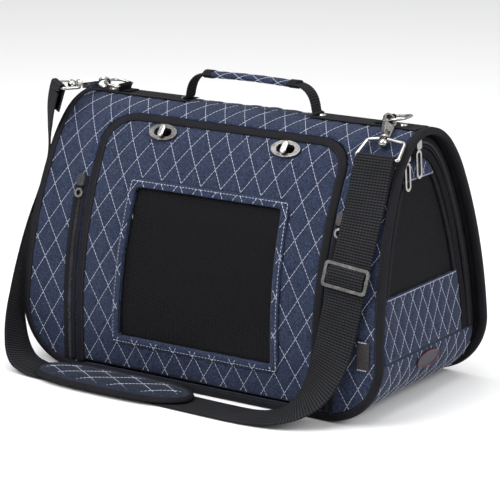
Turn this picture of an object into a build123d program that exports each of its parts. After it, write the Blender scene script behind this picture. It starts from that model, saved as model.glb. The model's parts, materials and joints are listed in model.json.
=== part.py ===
from build123d import *
import math
import os

# Soft-sided pet carrier bag with an arched body, a front window door and a side door.
# Frame: millimetres, +Z up, +X along the length towards the side door, the front door faces -Y.
# The origin is the middle of the base, on the surface that the bag stands on.

os.makedirs("parts", exist_ok=True)

# ---------------------------------------------------------------- driving dimensions, mm
BASE_LENGTH = 420.0
RIDGE_LENGTH = 390.0
WALL_HEIGHT = 50.0
SHOULDER_RADIUS, SHOULDER_TURN = 368.0, 26.4
HIP_RADIUS, HIP_TURN = 115.0, 44.1
RIDGE_RADIUS = 57.5
CORNER_RADIUS = 60.0

PANEL = 4.0
BINDING_WIDTH = 8.0
BINDING_PROUD = 1.2
TAPE = 0.8
FIT_GAP = 0.6

END_RECESS = 14.0
END_CORNER = 50.0
END_RIM = 22.0

DOOR_HALF_WIDTH = 140.0
DOOR_BOTTOM = BINDING_WIDTH + FIT_GAP
DOOR_TOP = 248.0
DOOR_CORNER = 36.0
DOOR_BINDING = 9.0
WINDOW_BOTTOM, WINDOW_TOP = 43.0, 186.0
WINDOW_HALF_BOTTOM, WINDOW_HALF_TOP = 89.0, 84.0
WINDOW_CORNER = 6.0
HEM_WIDTH = 7.0
MESH = 0.8

LOCK_X, LOCK_Z = 70.0, 235.0
LOCK_PLATE = (32.0, 17.5, 1.4)
LOCK_SLOT = (20.0, 9.0)

ZIP_TAPE_WIDTH = 14.0
ZIP_TOP = 190.0
ZIP_X = DOOR_HALF_WIDTH + 1.5 + ZIP_TAPE_WIDTH / 2

SIDE_DOOR_BOTTOM = 53.0
SIDE_WINDOW_BOTTOM, SIDE_WINDOW_TOP = 113.0, 213.0

WEBBING_WIDTH = 25.0
WEBBING = 1.2
HANDLE_FOOT_X = 72.0
HANDLE_WIDTH = 16.0
HANDLE_HEIGHT = 28.0

STRAP_WIDTH = 40.0
STRAP_THICK = 2.2
D_RING_WIRE = 2.6
D_RING_BAR_X = 152.0
D_RING_APEX_X = 172.0
D_RING_HALF_WIDTH = 13.0
D_RING_Z = 266.4
D_RING_RISE = 2.7

# ---------------------------------------------------------------- derived frame
SHOULDER = math.radians(SHOULDER_TURN)
HIP = math.radians(HIP_TURN)
HALF_DEPTH = (
    SHOULDER_RADIUS * (1 - math.cos(SHOULDER))
    + HIP_RADIUS * (math.cos(SHOULDER) - math.cos(HIP))
    + RIDGE_RADIUS * math.cos(HIP)
)
SHOULDER_CENTRE = (SHOULDER_RADIUS - HALF_DEPTH, WALL_HEIGHT)
HIP_CENTRE = (
    SHOULDER_CENTRE[0] - (SHOULDER_RADIUS - HIP_RADIUS) * math.cos(SHOULDER),
    SHOULDER_CENTRE[1] + (SHOULDER_RADIUS - HIP_RADIUS) * math.sin(SHOULDER),
)
RIDGE_CENTRE = (0.0, HIP_CENTRE[1] + (HIP_RADIUS - RIDGE_RADIUS) * math.sin(HIP))
HEIGHT = RIDGE_CENTRE[1] + RIDGE_RADIUS
HALF_LENGTH = BASE_LENGTH / 2
TAPER = (BASE_LENGTH - RIDGE_LENGTH) / 2 / HEIGHT
LEAN = math.atan(TAPER)
INNER = PANEL + BINDING_PROUD
SHOULDER_TOP = WALL_HEIGHT + SHOULDER_RADIUS * math.sin(SHOULDER)
HIP_TOP = SHOULDER_TOP + HIP_RADIUS * (math.sin(HIP) - math.sin(SHOULDER))
SIDES = (("left", -1), ("right", 1))


def front_arc(height):
    """The centre, radius and lean-back angle of the front face at a height."""
    if height <= WALL_HEIGHT:
        return SHOULDER_CENTRE, SHOULDER_RADIUS, 0.0
    if height <= SHOULDER_TOP:
        centre, radius = SHOULDER_CENTRE, SHOULDER_RADIUS
    elif height <= HIP_TOP:
        centre, radius = HIP_CENTRE, HIP_RADIUS
    else:
        centre, radius = RIDGE_CENTRE, RIDGE_RADIUS
    return centre, radius, math.asin((height - centre[1]) / radius)


def front_plane(x, height, out=0.0):
    """A plane on the front face, its x along the bag and its normal pointing out."""
    centre, radius, angle = front_arc(height)
    y = centre[0] - (radius + out) * math.cos(angle)
    z = height + out * math.sin(angle)
    return Plane((x, y, z), x_dir=(1, 0, 0), z_dir=(0, -math.cos(angle), math.sin(angle)))


def end_plane(y, height, out=0.0, side=1):
    """A plane on the recessed end wall, its y up the wall and its normal pointing out."""
    x = HALF_LENGTH - END_RECESS - TAPER * height + out * math.cos(LEAN)
    z = height + out * math.sin(LEAN)
    normal = (side * math.cos(LEAN), 0, math.sin(LEAN))
    return Plane((side * x, y, z), x_dir=(0, side, 0), z_dir=normal)


def arch_block(inset, floor=0.0):
    """Everything inside the arch, moved in by inset and cut level at floor."""
    with BuildPart() as block:
        with BuildSketch(Plane.YZ):
            with BuildLine():
                for side, start in ((-1, 180), (1, 0)):
                    foot = side * (HALF_DEPTH - inset)
                    Line((foot, floor), (foot, WALL_HEIGHT))
                    turn = side
                    arcs = (
                        (SHOULDER_CENTRE, SHOULDER_RADIUS, 0, SHOULDER_TURN),
                        (HIP_CENTRE, HIP_RADIUS, SHOULDER_TURN, HIP_TURN),
                        (RIDGE_CENTRE, RIDGE_RADIUS, HIP_TURN, 90),
                    )
                    for centre, radius, first, last in arcs:
                        middle = (-side * centre[0], centre[1])
                        CenterArc(middle, radius - inset, start + turn * first, turn * (last - first))
                Line((inset - HALF_DEPTH, floor), (HALF_DEPTH - inset, floor))
            make_face()
        extrude(amount=HALF_LENGTH + 40, both=True)
    return block.part


def outline_block(end_inset, bottom, corner):
    """Everything inside the front view: ends that lean in and rounded lower corners."""
    top = HEIGHT + 20
    low = HALF_LENGTH - end_inset - TAPER * bottom
    high = HALF_LENGTH - end_inset - TAPER * top
    with BuildPart() as block:
        with BuildSketch(Plane.XZ) as view:
            with BuildLine():
                Polyline((-low, bottom), (low, bottom), (high, top), (-high, top), close=True)
            make_face()
            fillet(view.vertices().group_by(Axis.Y)[0], corner)
        extrude(amount=HALF_DEPTH + 40, both=True)
    return block.part


def cut_block(low, high):
    """A plain block between two corners, for splitting shells."""
    size = [b - a for a, b in zip(low, high)]
    with BuildPart() as block:
        with Locations(((low[0] + high[0]) / 2, (low[1] + high[1]) / 2, (low[2] + high[2]) / 2)):
            Box(*size)
    return block.part


def layer(outer, inner):
    """The shell of the arch between two insets, open below."""
    with BuildPart() as shell:
        add(arch_block(outer))
        add(arch_block(inner, -20), mode=Mode.SUBTRACT)
    return shell.part


def front_prism(half, bottom, top, corner):
    """A door-shaped prism that runs from near the ridge plane out through the front."""
    with BuildPart() as prism:
        with BuildSketch(Plane.XZ.offset(8)) as view:
            with Locations((0, (bottom + top) / 2)):
                Rectangle(2 * half, top - bottom)
            if corner:
                fillet(view.vertices().group_by(Axis.Y)[-1], corner)
        extrude(amount=HALF_DEPTH + 20)
    return prism.part


def window_prism(grow):
    """The front window's opening, grown all round."""
    low, high = WINDOW_HALF_BOTTOM + grow, WINDOW_HALF_TOP + grow
    bottom, top = WINDOW_BOTTOM - grow, WINDOW_TOP + grow
    with BuildPart() as prism:
        with BuildSketch(Plane.XZ.offset(8)) as view:
            with BuildLine():
                Polyline((-low, bottom), (low, bottom), (high, top), (-high, top), close=True)
            make_face()
            fillet(view.vertices(), WINDOW_CORNER + grow)
        extrude(amount=HALF_DEPTH + 20)
    return prism.part


def save(part, name):
    """Labels a finished piece and writes its file."""
    part.label = name
    export_step(part, f"parts/{name}.step")


# ---------------------------------------------------------------- wrap: front, back, bindings
wrap = layer(0, PANEL)
inside_binding = outline_block(BINDING_WIDTH, BINDING_WIDTH, CORNER_RADIUS - BINDING_WIDTH)
whole_outline = outline_block(0, 0, CORNER_RADIUS)
far = 400.0
front_half = cut_block((-far, -far, -1), (far, 0, far))
back_half = cut_block((-far, 0, -1), (far, far, far))

with BuildPart() as front_panel:
    add(wrap)
    add(inside_binding, mode=Mode.INTERSECT)
    add(front_half, mode=Mode.INTERSECT)
    add(
        front_prism(DOOR_HALF_WIDTH + FIT_GAP, 0, DOOR_TOP + 2 * FIT_GAP, DOOR_CORNER),
        mode=Mode.SUBTRACT,
    )
save(front_panel.part, "front_panel")

with BuildPart() as back_panel:
    add(wrap)
    add(inside_binding, mode=Mode.INTERSECT)
    add(back_half, mode=Mode.INTERSECT)
save(back_panel.part, "back_panel")

with BuildPart() as edge_ring:
    add(layer(-BINDING_PROUD, INNER))
    add(whole_outline, mode=Mode.INTERSECT)
    add(inside_binding, mode=Mode.SUBTRACT)

RUN_HALF = HALF_LENGTH - CORNER_RADIUS
for name, side in SIDES:
    low, high = sorted((side * RUN_HALF, side * far))
    with BuildPart() as edge_binding:
        add(edge_ring.part)
        add(cut_block((low, -far, -1), (high, far, far)), mode=Mode.INTERSECT)
    save(edge_binding.part, f"edge_binding_{name}")
for name, low, high in (("front", -far, 0), ("rear", 0, far)):
    with BuildPart() as bottom_binding:
        add(edge_ring.part)
        add(cut_block((-RUN_HALF, low, -1), (RUN_HALF, high, 50)), mode=Mode.INTERSECT)
    save(bottom_binding.part, f"bottom_binding_{name}")

# ---------------------------------------------------------------- base and end walls
with BuildPart() as gusset:
    add(outline_block(END_RECESS, 0, END_CORNER))
    add(
        outline_block(END_RECESS + PANEL, PANEL, END_CORNER - PANEL),
        mode=Mode.SUBTRACT,
    )
    add(arch_block(INNER, -20), mode=Mode.INTERSECT)

with BuildPart() as base_panel:
    add(gusset.part)
    add(cut_block((-far, -far, -1), (far, far, SIDE_DOOR_BOTTOM - FIT_GAP)), mode=Mode.INTERSECT)
save(base_panel.part, "base_panel")

SIDE_DOOR_INSET = INNER + END_RIM
side_window_inset = SIDE_DOOR_INSET + 7
with BuildPart() as side_window:
    add(arch_block(side_window_inset))
    add(
        cut_block((-far, -far, SIDE_WINDOW_BOTTOM), (far, far, SIDE_WINDOW_TOP)),
        mode=Mode.INTERSECT,
    )

above_base = SIDE_DOOR_BOTTOM - FIT_GAP
with BuildPart() as left_end_panel:
    add(gusset.part)
    add(cut_block((-far, -far, above_base), (0, far, far)), mode=Mode.INTERSECT)
    add(side_window.part, mode=Mode.SUBTRACT)
save(left_end_panel.part, "left_end_panel")

mesh_inset = END_RECESS + PANEL / 2
with BuildPart() as end_mesh:
    add(outline_block(mesh_inset, 0, END_CORNER))
    add(outline_block(mesh_inset + MESH, 0, END_CORNER), mode=Mode.SUBTRACT)
    add(side_window.part, mode=Mode.INTERSECT)
for name, low, high in (("left_end_mesh", -far, 0), ("side_door_mesh", 0, far)):
    with BuildPart() as mesh:
        add(end_mesh.part)
        add(cut_block((low, -far, 0), (high, far, far)), mode=Mode.INTERSECT)
    save(mesh.part, name)

with BuildPart() as right_end_frame:
    add(gusset.part)
    add(cut_block((0, -far, above_base), (far, far, far)), mode=Mode.INTERSECT)
    add(arch_block(SIDE_DOOR_INSET, 0), mode=Mode.SUBTRACT)
save(right_end_frame.part, "right_end_frame")

with BuildPart() as side_door_panel:
    add(gusset.part)
    add(cut_block((0, -far, SIDE_DOOR_BOTTOM), (far, far, far)), mode=Mode.INTERSECT)
    add(arch_block(SIDE_DOOR_INSET + FIT_GAP, 0), mode=Mode.INTERSECT)
    add(side_window.part, mode=Mode.SUBTRACT)
save(side_door_panel.part, "side_door_panel")

# The zip's coil runs round the rim, just outside the side door.
COIL_INSET = INNER + 5
COIL_WIDTH = 6.0
COIL_PROUD = 1.4
with BuildPart() as side_zip_coil:
    add(outline_block(END_RECESS - COIL_PROUD, 0, END_CORNER))
    add(outline_block(END_RECESS, 0, END_CORNER), mode=Mode.SUBTRACT)
    add(arch_block(COIL_INSET), mode=Mode.INTERSECT)
    add(arch_block(COIL_INSET + COIL_WIDTH, -20), mode=Mode.SUBTRACT)
    add(cut_block((0, -far, above_base), (far, far, far)), mode=Mode.INTERSECT)
save(side_zip_coil.part, "side_zip_coil")

# The blank badge is sewn on the rounded lower end, below the side door's fold.
BADGE_Y, BADGE_Z = 6.0, 41.0
badge_turn = math.asin((BADGE_Z - END_CORNER) / END_CORNER)
corner_x = HALF_LENGTH - END_RECESS - TAPER * END_CORNER - END_CORNER
badge_reach = END_CORNER + 1.0
with BuildPart() as end_badge:
    badge_plane = Plane(
        (
            corner_x + badge_reach * math.cos(badge_turn),
            BADGE_Y,
            END_CORNER + badge_reach * math.sin(badge_turn),
        ),
        x_dir=(0, 1, 0),
        z_dir=(math.cos(badge_turn), 0, math.sin(badge_turn)),
    )
    with BuildSketch(badge_plane):
        Ellipse(20, 8)
    extrude(amount=1.2)
save(end_badge.part, "end_badge")

# ---------------------------------------------------------------- floor board and mat
BOARD = 3.0
with BuildPart() as base_board:
    with BuildSketch(Plane.XY.offset(PANEL + 0.3)):
        RectangleRounded(2 * (HALF_LENGTH - END_RECESS - END_CORNER), 2 * (HALF_DEPTH - INNER - 2), 8)
    extrude(amount=BOARD)
save(base_board.part, "base_board")

with BuildPart() as floor_mat:
    with BuildSketch(Plane.XY.offset(PANEL + BOARD + 0.9)):
        RectangleRounded(2 * (HALF_LENGTH - END_RECESS - END_CORNER) + 12, 2 * (HALF_DEPTH - INNER - 3), 16)
    extrude(amount=9)
    fillet(floor_mat.edges().group_by(Axis.Z)[-1], 3)
save(floor_mat.part, "floor_mat")

# ---------------------------------------------------------------- front door
with BuildPart() as door_panel:
    add(wrap)
    add(
        front_prism(
            DOOR_HALF_WIDTH - DOOR_BINDING,
            DOOR_BOTTOM,
            DOOR_TOP - DOOR_BINDING,
            DOOR_CORNER - DOOR_BINDING,
        ),
        mode=Mode.INTERSECT,
    )
    add(window_prism(0), mode=Mode.SUBTRACT)
    for side in (-1, 1):
        with BuildSketch(front_plane(side * LOCK_X, LOCK_Z, 10)):
            SlotOverall(*LOCK_SLOT)
        extrude(amount=-20, mode=Mode.SUBTRACT)
save(door_panel.part, "door_panel")

with BuildPart() as door_binding:
    add(layer(-BINDING_PROUD, INNER))
    add(front_prism(DOOR_HALF_WIDTH, DOOR_BOTTOM, DOOR_TOP, DOOR_CORNER), mode=Mode.INTERSECT)
    add(
        front_prism(
            DOOR_HALF_WIDTH - DOOR_BINDING,
            -10,
            DOOR_TOP - DOOR_BINDING,
            DOOR_CORNER - DOOR_BINDING,
        ),
        mode=Mode.SUBTRACT,
    )
save(door_binding.part, "door_binding")

with BuildPart() as door_mesh:
    add(layer(PANEL / 2, PANEL / 2 + MESH))
    add(window_prism(0), mode=Mode.INTERSECT)
save(door_mesh.part, "door_mesh")

with BuildPart() as door_window_hem:
    add(layer(-TAPE, 0))
    add(window_prism(HEM_WIDTH), mode=Mode.INTERSECT)
    add(window_prism(0), mode=Mode.SUBTRACT)
save(door_window_hem.part, "door_window_hem")

LOCK_LIFT = BINDING_PROUD + 0.1
with BuildPart() as lock_plates:
    for side in (-1, 1):
        with BuildSketch(front_plane(side * LOCK_X, LOCK_Z, LOCK_LIFT)):
            Ellipse(LOCK_PLATE[0] / 2, LOCK_PLATE[1] / 2)
            SlotOverall(*LOCK_SLOT, mode=Mode.SUBTRACT)
        extrude(amount=LOCK_PLATE[2])
save(lock_plates.part, "lock_plates")

# The facing behind the door's top edge carries the turn locks' posts.
FACING_GAP = 0.8
with BuildPart() as lock_facing:
    add(layer(INNER + FACING_GAP, INNER + FACING_GAP + 2))
    add(front_prism(DOOR_HALF_WIDTH + 12, 221, 256, 0), mode=Mode.INTERSECT)
save(lock_facing.part, "lock_facing")

POST_RADIUS = 2.2
HEAD_LIFT = LOCK_LIFT + LOCK_PLATE[2] + 0.5
for name, side in SIDES:
    foot = -(INNER + FACING_GAP)
    with BuildPart() as lock_toggle:
        with BuildSketch(front_plane(side * LOCK_X, LOCK_Z, foot)):
            Circle(POST_RADIUS)
        extrude(amount=HEAD_LIFT + 0.2 - foot)
        with BuildSketch(front_plane(side * LOCK_X, LOCK_Z, HEAD_LIFT)):
            SlotOverall(13.5, 6.5, rotation=90)
        extrude(amount=4)
        fillet(lock_toggle.faces().sort_by(Axis.Y)[0].edges(), 1.5)
    save(lock_toggle.part, f"lock_toggle_{name}")

# ---------------------------------------------------------------- front zips
SLIDER = (9.0, 12.0, 3.4)
SLIDER_LIFT = TAPE + 0.4
SLIDER_Z = 184.0
PULL_RADIUS = 4.8
PULL_BORE = 2.6
for name, side in SIDES:
    low, high = sorted((side * (ZIP_X - ZIP_TAPE_WIDTH / 2), side * (ZIP_X + ZIP_TAPE_WIDTH / 2)))
    with BuildPart() as front_zip_tape:
        add(layer(-TAPE, 0))
        add(cut_block((low, -far, DOOR_BOTTOM + 1), (high, 0, ZIP_TOP)), mode=Mode.INTERSECT)
    save(front_zip_tape.part, f"front_zip_tape_{name}")

    with BuildPart() as front_zip_slider:
        with BuildSketch(front_plane(side * ZIP_X, SLIDER_Z, SLIDER_LIFT)):
            RectangleRounded(SLIDER[0], SLIDER[1], 2.5)
        extrude(amount=SLIDER[2])
    save(front_zip_slider.part, f"front_zip_slider_{name}")

    with BuildPart() as front_zip_pull:
        with BuildSketch(front_plane(side * ZIP_X, SLIDER_Z - 12, SLIDER_LIFT + 1)):
            Circle(PULL_RADIUS)
            Circle(PULL_BORE, mode=Mode.SUBTRACT)
        extrude(amount=1.6)
    save(front_zip_pull.part, f"front_zip_pull_{name}")

# ---------------------------------------------------------------- side door zip
SIDE_SLIDERS = (("front", -26.0), ("rear", -5.0))
SIDE_SLIDER_LIFT = COIL_PROUD + 0.4
coil_radius = RIDGE_RADIUS - COIL_INSET - COIL_WIDTH / 2
SIDE_PULL = (10.0, 27.0, 1.5)
for name, across in SIDE_SLIDERS:
    top = RIDGE_CENTRE[1] + math.sqrt(coil_radius**2 - across**2)
    with BuildPart() as side_zip_slider:
        with BuildSketch(end_plane(across, top, SIDE_SLIDER_LIFT)):
            RectangleRounded(8.5, 10, 2)
        extrude(amount=3.4)
    save(side_zip_slider.part, f"side_zip_slider_{name}")

    with BuildPart() as side_zip_pull:
        middle = top - 5.6 - SIDE_PULL[1] / 2
        with BuildSketch(end_plane(across, middle, SIDE_SLIDER_LIFT + 1)):
            SlotOverall(SIDE_PULL[1], SIDE_PULL[0], rotation=90)
            SlotOverall(SIDE_PULL[1] - 5, SIDE_PULL[0] - 5, rotation=90, mode=Mode.SUBTRACT)
        extrude(amount=SIDE_PULL[2])
    save(side_zip_pull.part, f"side_zip_pull_{name}")

# ---------------------------------------------------------------- ridge webbing and rivets
RIDGE_WEBBING_END = HALF_LENGTH - BINDING_WIDTH - TAPER * HEIGHT - 0.5
for name, side in SIDES:
    low, high = sorted((side * (HANDLE_FOOT_X - 2), side * RIDGE_WEBBING_END))
    with BuildPart() as ridge_webbing:
        add(layer(-WEBBING, 0))
        half = WEBBING_WIDTH / 2
        add(cut_block((low, -half, 200), (high, half, far)), mode=Mode.INTERSECT)
    save(ridge_webbing.part, f"ridge_webbing_{name}")

RIVET_XS = (-167.0, -79.0, 79.0, 167.0)
with BuildPart() as rivets:
    for x in RIVET_XS:
        with BuildSketch(Plane((x, 0, HEIGHT + WEBBING))):
            Circle(4)
        extrude(amount=1.4, taper=35)
save(rivets.part, "rivets")

# ---------------------------------------------------------------- handle
GRIP_HALF = 50.0
GRIP_SIZE = (14.0, 7.0)
grip_z = HEIGHT + HANDLE_HEIGHT
FOLD_Z = HEIGHT + WEBBING + 10.0
with BuildPart() as handle_grip:
    with BuildSketch(Plane((-GRIP_HALF, 0, grip_z), x_dir=(0, 1, 0), z_dir=(1, 0, 0))):
        SlotOverall(*GRIP_SIZE)
    extrude(amount=2 * GRIP_HALF)
save(handle_grip.part, "handle_grip")

# Each leg ends in a round tongue about the line where the webbing folds.
with BuildPart() as handle_tongue:
    with BuildSketch(Plane.YZ.offset(-HANDLE_FOOT_X - 10)):
        with Locations((0, FOLD_Z)):
            Circle(HANDLE_WIDTH / 2)
            Rectangle(HANDLE_WIDTH, 40, align=(Align.CENTER, Align.MIN))
    extrude(amount=2 * HANDLE_FOOT_X + 20)

with BuildPart() as handle_webbing:
    for side in (-1, 1):
        with BuildSketch(Plane.XZ):
            with BuildLine():
                outer = [(50.1, 288.5), (59, 287.5), (66.5, 281), (70.5, 271), (72.2, 260)]
                inner = [(69.8, 260), (68, 270), (64.2, 279.4), (57.6, 285), (50.1, 286)]
                Spline(*[(side * x, z) for x, z in outer])
                Line((side * outer[-1][0], outer[-1][1]), (side * inner[0][0], inner[0][1]))
                Spline(*[(side * x, z) for x, z in inner])
                Line((side * inner[-1][0], inner[-1][1]), (side * outer[0][0], outer[0][1]))
            make_face()
        extrude(amount=HANDLE_WIDTH / 2, both=True)
    add(handle_tongue.part, mode=Mode.INTERSECT)
save(handle_webbing.part, "handle_webbing")

with BuildPart() as handle_feet:
    add(layer(-WEBBING - 1.5, -WEBBING))
    half = HANDLE_WIDTH / 2
    with BuildSketch(Plane.XY.offset(240)):
        with Locations((-HANDLE_FOOT_X + 1, 0), (HANDLE_FOOT_X - 1, 0)):
            Rectangle(5, HANDLE_WIDTH)
    extrude(amount=40, mode=Mode.INTERSECT)
save(handle_feet.part, "handle_feet")

# ---------------------------------------------------------------- label tag
with BuildPart() as label_tag:
    with BuildSketch(front_plane(187.0, 68.0, 0.3)):
        Rectangle(13, 28)
    extrude(amount=0.8)
save(label_tag.part, "label_tag")

# ---------------------------------------------------------------- D-rings, tabs and hooks
# Each hook is set by its eye's middle, the way it points and the way its face looks.
# Each eye holds the front of its D-ring, so that the strap can swing up about one line.
HOOKS = {
    "left": {"eye": (-170.2, -11.4, 268.8), "along": (-0.64, -0.766, 0.0), "face": (0.63, -0.52, -0.57)},
    "right": {"eye": (160.3, -14.0, 267.5), "along": (0.27, -0.82, -0.5), "face": (0.8, -0.2, 0.5)},
}
BARS = {
    "left": {"middle": (-199.6, -46.5, 269.0), "along": (0.766, -0.64, 0.0)},
    "right": {"middle": (170.8, -55.0, 240.4), "along": (1.0, 0.0, 0.0)},
}
HOOK_REACH = 32.0
BODY_START, BODY_END = 6.0, HOOK_REACH - 10.5
BODY_WIDE, BODY_NARROW = 10.8, 7.6
TAB_WIDTH = 16.0
EYE_RADIUS, EYE_RIM, EYE_THICK = 5.2, 1.9, 2.6
NECK_RADIUS, BALL_RADIUS = 1.7, 4.4
COLLAR_RADIUS, COLLAR_BORE, COLLAR_LENGTH = 4.6, 3.1, 2.4
COLLAR_FROM_BALL = 6.5
BODY_THICK, SLOT_MIDDLE, TRIGGER_WIDTH = 4.4, 15.0, 4.6
LOOP_WIRE = 3.2
BAR_HALF = 22.5
WIRE_START = 4.1

for name, side in SIDES:
    rise = D_RING_RISE / (D_RING_APEX_X - D_RING_BAR_X)
    ring_plane = Plane(
        (side * D_RING_BAR_X, 0, D_RING_Z), x_dir=(side, 0, rise), z_dir=(-side * rise, 0, 1)
    )
    depth = D_RING_APEX_X - D_RING_BAR_X
    with BuildPart() as d_ring:
        with BuildLine(ring_plane) as ring_path:
            half = D_RING_HALF_WIDTH
            FilletPolyline(
                (0, 0), (0, half), (depth, half), (depth, -half), (0, -half),
                radius=[0, 2.2, 9, 9, 2.2],
                close=True,
            )
        with BuildSketch(Plane(ring_path.wire() @ 0, z_dir=ring_path.wire() % 0)):
            Circle(D_RING_WIRE / 2)
        sweep(transition=Transition.ROUND)
    save(d_ring.part, f"d_ring_{name}")

    with BuildPart() as d_ring_tab:
        with BuildSketch(Plane.XZ.offset(-TAB_WIDTH / 2)):
            with Locations((side * D_RING_BAR_X, D_RING_Z)):
                Circle(D_RING_WIRE / 2 + 1.4)
            low = HEIGHT + WEBBING + 0.1
            with Locations((side * (D_RING_BAR_X - 4.5), low)):
                Rectangle(13, 1.2, align=(Align.CENTER, Align.MIN))
            with Locations((side * D_RING_BAR_X, low)):
                Rectangle(3.4, D_RING_Z - low, align=(Align.CENTER, Align.MIN))
            with Locations((side * D_RING_BAR_X, D_RING_Z)):
                Circle(D_RING_WIRE / 2 + 0.2, mode=Mode.SUBTRACT)
        extrude(amount=TAB_WIDTH)
    save(d_ring_tab.part, f"d_ring_tab_{name}")

    eye = Vector(*HOOKS[name]["eye"])
    along = Vector(*HOOKS[name]["along"]).normalized()
    ball = eye + along * HOOK_REACH
    normal = Vector(*HOOKS[name]["face"])
    normal = (normal - along * normal.dot(along)).normalized()
    hook_plane = Plane(eye, x_dir=along, z_dir=normal)
    with BuildPart() as snap_hook:
        with BuildSketch(hook_plane):
            Circle(EYE_RADIUS + EYE_RIM)
            Circle(EYE_RADIUS, mode=Mode.SUBTRACT)
        extrude(amount=EYE_THICK / 2, both=True)
        with BuildSketch(hook_plane):
            with BuildLine():
                Polyline(
                    (BODY_START, -BODY_WIDE / 2),
                    (BODY_END, -BODY_NARROW / 2),
                    (BODY_END, BODY_NARROW / 2),
                    (BODY_START, BODY_WIDE / 2),
                    close=True,
                )
            make_face()
        extrude(amount=BODY_THICK / 2, both=True)
        with BuildSketch(hook_plane.offset(BODY_THICK / 2)):
            with Locations((SLOT_MIDDLE, 0)):
                Rectangle(12, TRIGGER_WIDTH + 0.6)
        extrude(amount=-1.6, mode=Mode.SUBTRACT)
        with BuildSketch(Plane(eye + along * (BODY_END - 1), z_dir=along)):
            Circle(NECK_RADIUS)
        extrude(amount=HOOK_REACH - BODY_END + 1)
        with Locations(ball):
            Sphere(BALL_RADIUS)
    save(snap_hook.part, f"snap_hook_{name}")

    with BuildPart() as hook_trigger:
        with BuildSketch(hook_plane.offset(BODY_THICK / 2 - 1.3)):
            with Locations((SLOT_MIDDLE - 2.2, 0)):
                RectangleRounded(7, TRIGGER_WIDTH, 1)
        extrude(amount=2.4)
    save(hook_trigger.part, f"hook_trigger_{name}")

    bar = Vector(*BARS[name]["middle"])
    bar_along = Vector(*BARS[name]["along"]).normalized()
    collar = ball - along * COLLAR_FROM_BALL
    down = bar - collar
    down = down - bar_along * down.dot(bar_along)
    loop_plane = Plane(collar, x_dir=bar_along, z_dir=bar_along.cross(down))
    drop = down.length
    shift = (bar - collar).dot(bar_along)
    with BuildPart() as swivel_loop:
        with BuildLine(loop_plane) as loop_path:
            FilletPolyline(
                (WIRE_START, 0.5), (shift + BAR_HALF - 3, 3), (shift + BAR_HALF, drop), (shift - BAR_HALF, drop),
                (shift - BAR_HALF + 3, 3), (-WIRE_START, 0.5),
                radius=[4, 2.5, 2.5, 4],
            )
        with BuildSketch(Plane(loop_path.wire() @ 0, z_dir=loop_path.wire() % 0)):
            Circle(LOOP_WIRE / 2)
        sweep(transition=Transition.ROUND)
        with BuildSketch(Plane(collar, z_dir=along).offset(-COLLAR_LENGTH / 2)):
            Circle(COLLAR_RADIUS)
            Circle(COLLAR_BORE, mode=Mode.SUBTRACT)
        extrude(amount=COLLAR_LENGTH)
    save(swivel_loop.part, f"swivel_loop_{name}")

# ---------------------------------------------------------------- shoulder strap
# Route of the webbing's middle line, and the direction across the webbing at each point.
STRAP_ROUTE = [
    ((170.8, -57.2, 236.2), (1, 0, 0)),
    ((171, -69, 212), (1, 0, -0.05)),
    ((171, -84.5, 178), (1, 0, -0.08)),
    ((168, -97, 138), (1, 0, -0.12)),
    ((164, -105.5, 97), (1, 0, -0.15)),
    ((158, -110.5, 60), (0.97, -0.1, -0.25)),
    ((146, -119, 28), (0.8, -0.5, -0.3)),
    ((122, -130, 8), (0.35, -0.9, -0.15)),
    ((90, -134.5, 1.4), (0, -1, 0)),
    ((44, -134, 1.3), (0, -1, 0)),
    ((-8, -132, 1.3), (0, -1, 0)),
    ((-62, -131, 1.3), (0, -1, 0)),
    ((-116, -129, 1.3), (0, -1, 0)),
    ((-168, -129.5, 1.4), (0, -1, 0)),
    ((-194, -123.5, 9.5), (0.1, -1, 0)),
    ((-210, -111, 42), (0.22, -0.97, 0)),
    ((-215.5, -93, 88), (0.35, -0.94, 0)),
    ((-218, -72, 134), (0.45, -0.89, 0)),
    ((-216.5, -52, 171), (0.52, -0.85, 0)),
    ((-213.5, -45, 199), (0.6, -0.8, 0)),
    ((-212, -47, 226), (0.66, -0.75, 0)),
    ((-206, -51, 247), (0.74, -0.67, 0)),
    ((-201.6, -48.7, 263.8), (0.766, -0.64, 0)),
]


def blend(first, second, share):
    """The direction a share of the way from the first to the second."""
    return (first * (1 - share) + second * share).normalized()


def rounded_route(route):
    """Points, tangents and widths along the route, each corner rounded by a tangent arc."""
    places = [Vector(*point) for point, _ in route]
    widths = [Vector(*across).normalized() for _, across in route]
    stations = [(places[0], (places[1] - places[0]).normalized(), widths[0])]
    for index in range(1, len(route) - 1):
        here = places[index]
        back, ahead = places[index - 1] - here, places[index + 1] - here
        cut = 0.45 * min(back.length, ahead.length)
        width_in = blend(widths[index], widths[index - 1], cut / back.length)
        width_out = blend(widths[index], widths[index + 1], cut / ahead.length)
        back, ahead = back.normalized(), ahead.normalized()
        half_turn = math.radians(180 - back.get_angle(ahead)) / 2
        radius = cut / math.tan(half_turn)
        print(f"strap corner {index}: turn {math.degrees(2 * half_turn):.0f} degrees, radius {radius:.0f}")
        sagitta = radius * (1 / math.cos(half_turn) - 1)
        apex = here + (back + ahead).normalized() * sagitta
        stations.append((here + back * cut, back * -1, width_in))
        stations.append((apex, (ahead - back).normalized(), widths[index]))
        stations.append((here + ahead * cut, ahead, width_out))
    stations.append((places[-1], (places[-1] - places[-2]).normalized(), widths[-1]))
    return stations


def ribbon(stations):
    """A flat strip of webbing through the stations."""
    with BuildPart() as strip:
        for point, tangent, wide in stations:
            flat = (wide - tangent * wide.dot(tangent)).normalized()
            with BuildSketch(Plane(point, x_dir=flat, z_dir=tangent)):
                Rectangle(STRAP_WIDTH, STRAP_THICK)
        loft(ruled=True)
    return strip.part


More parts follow.
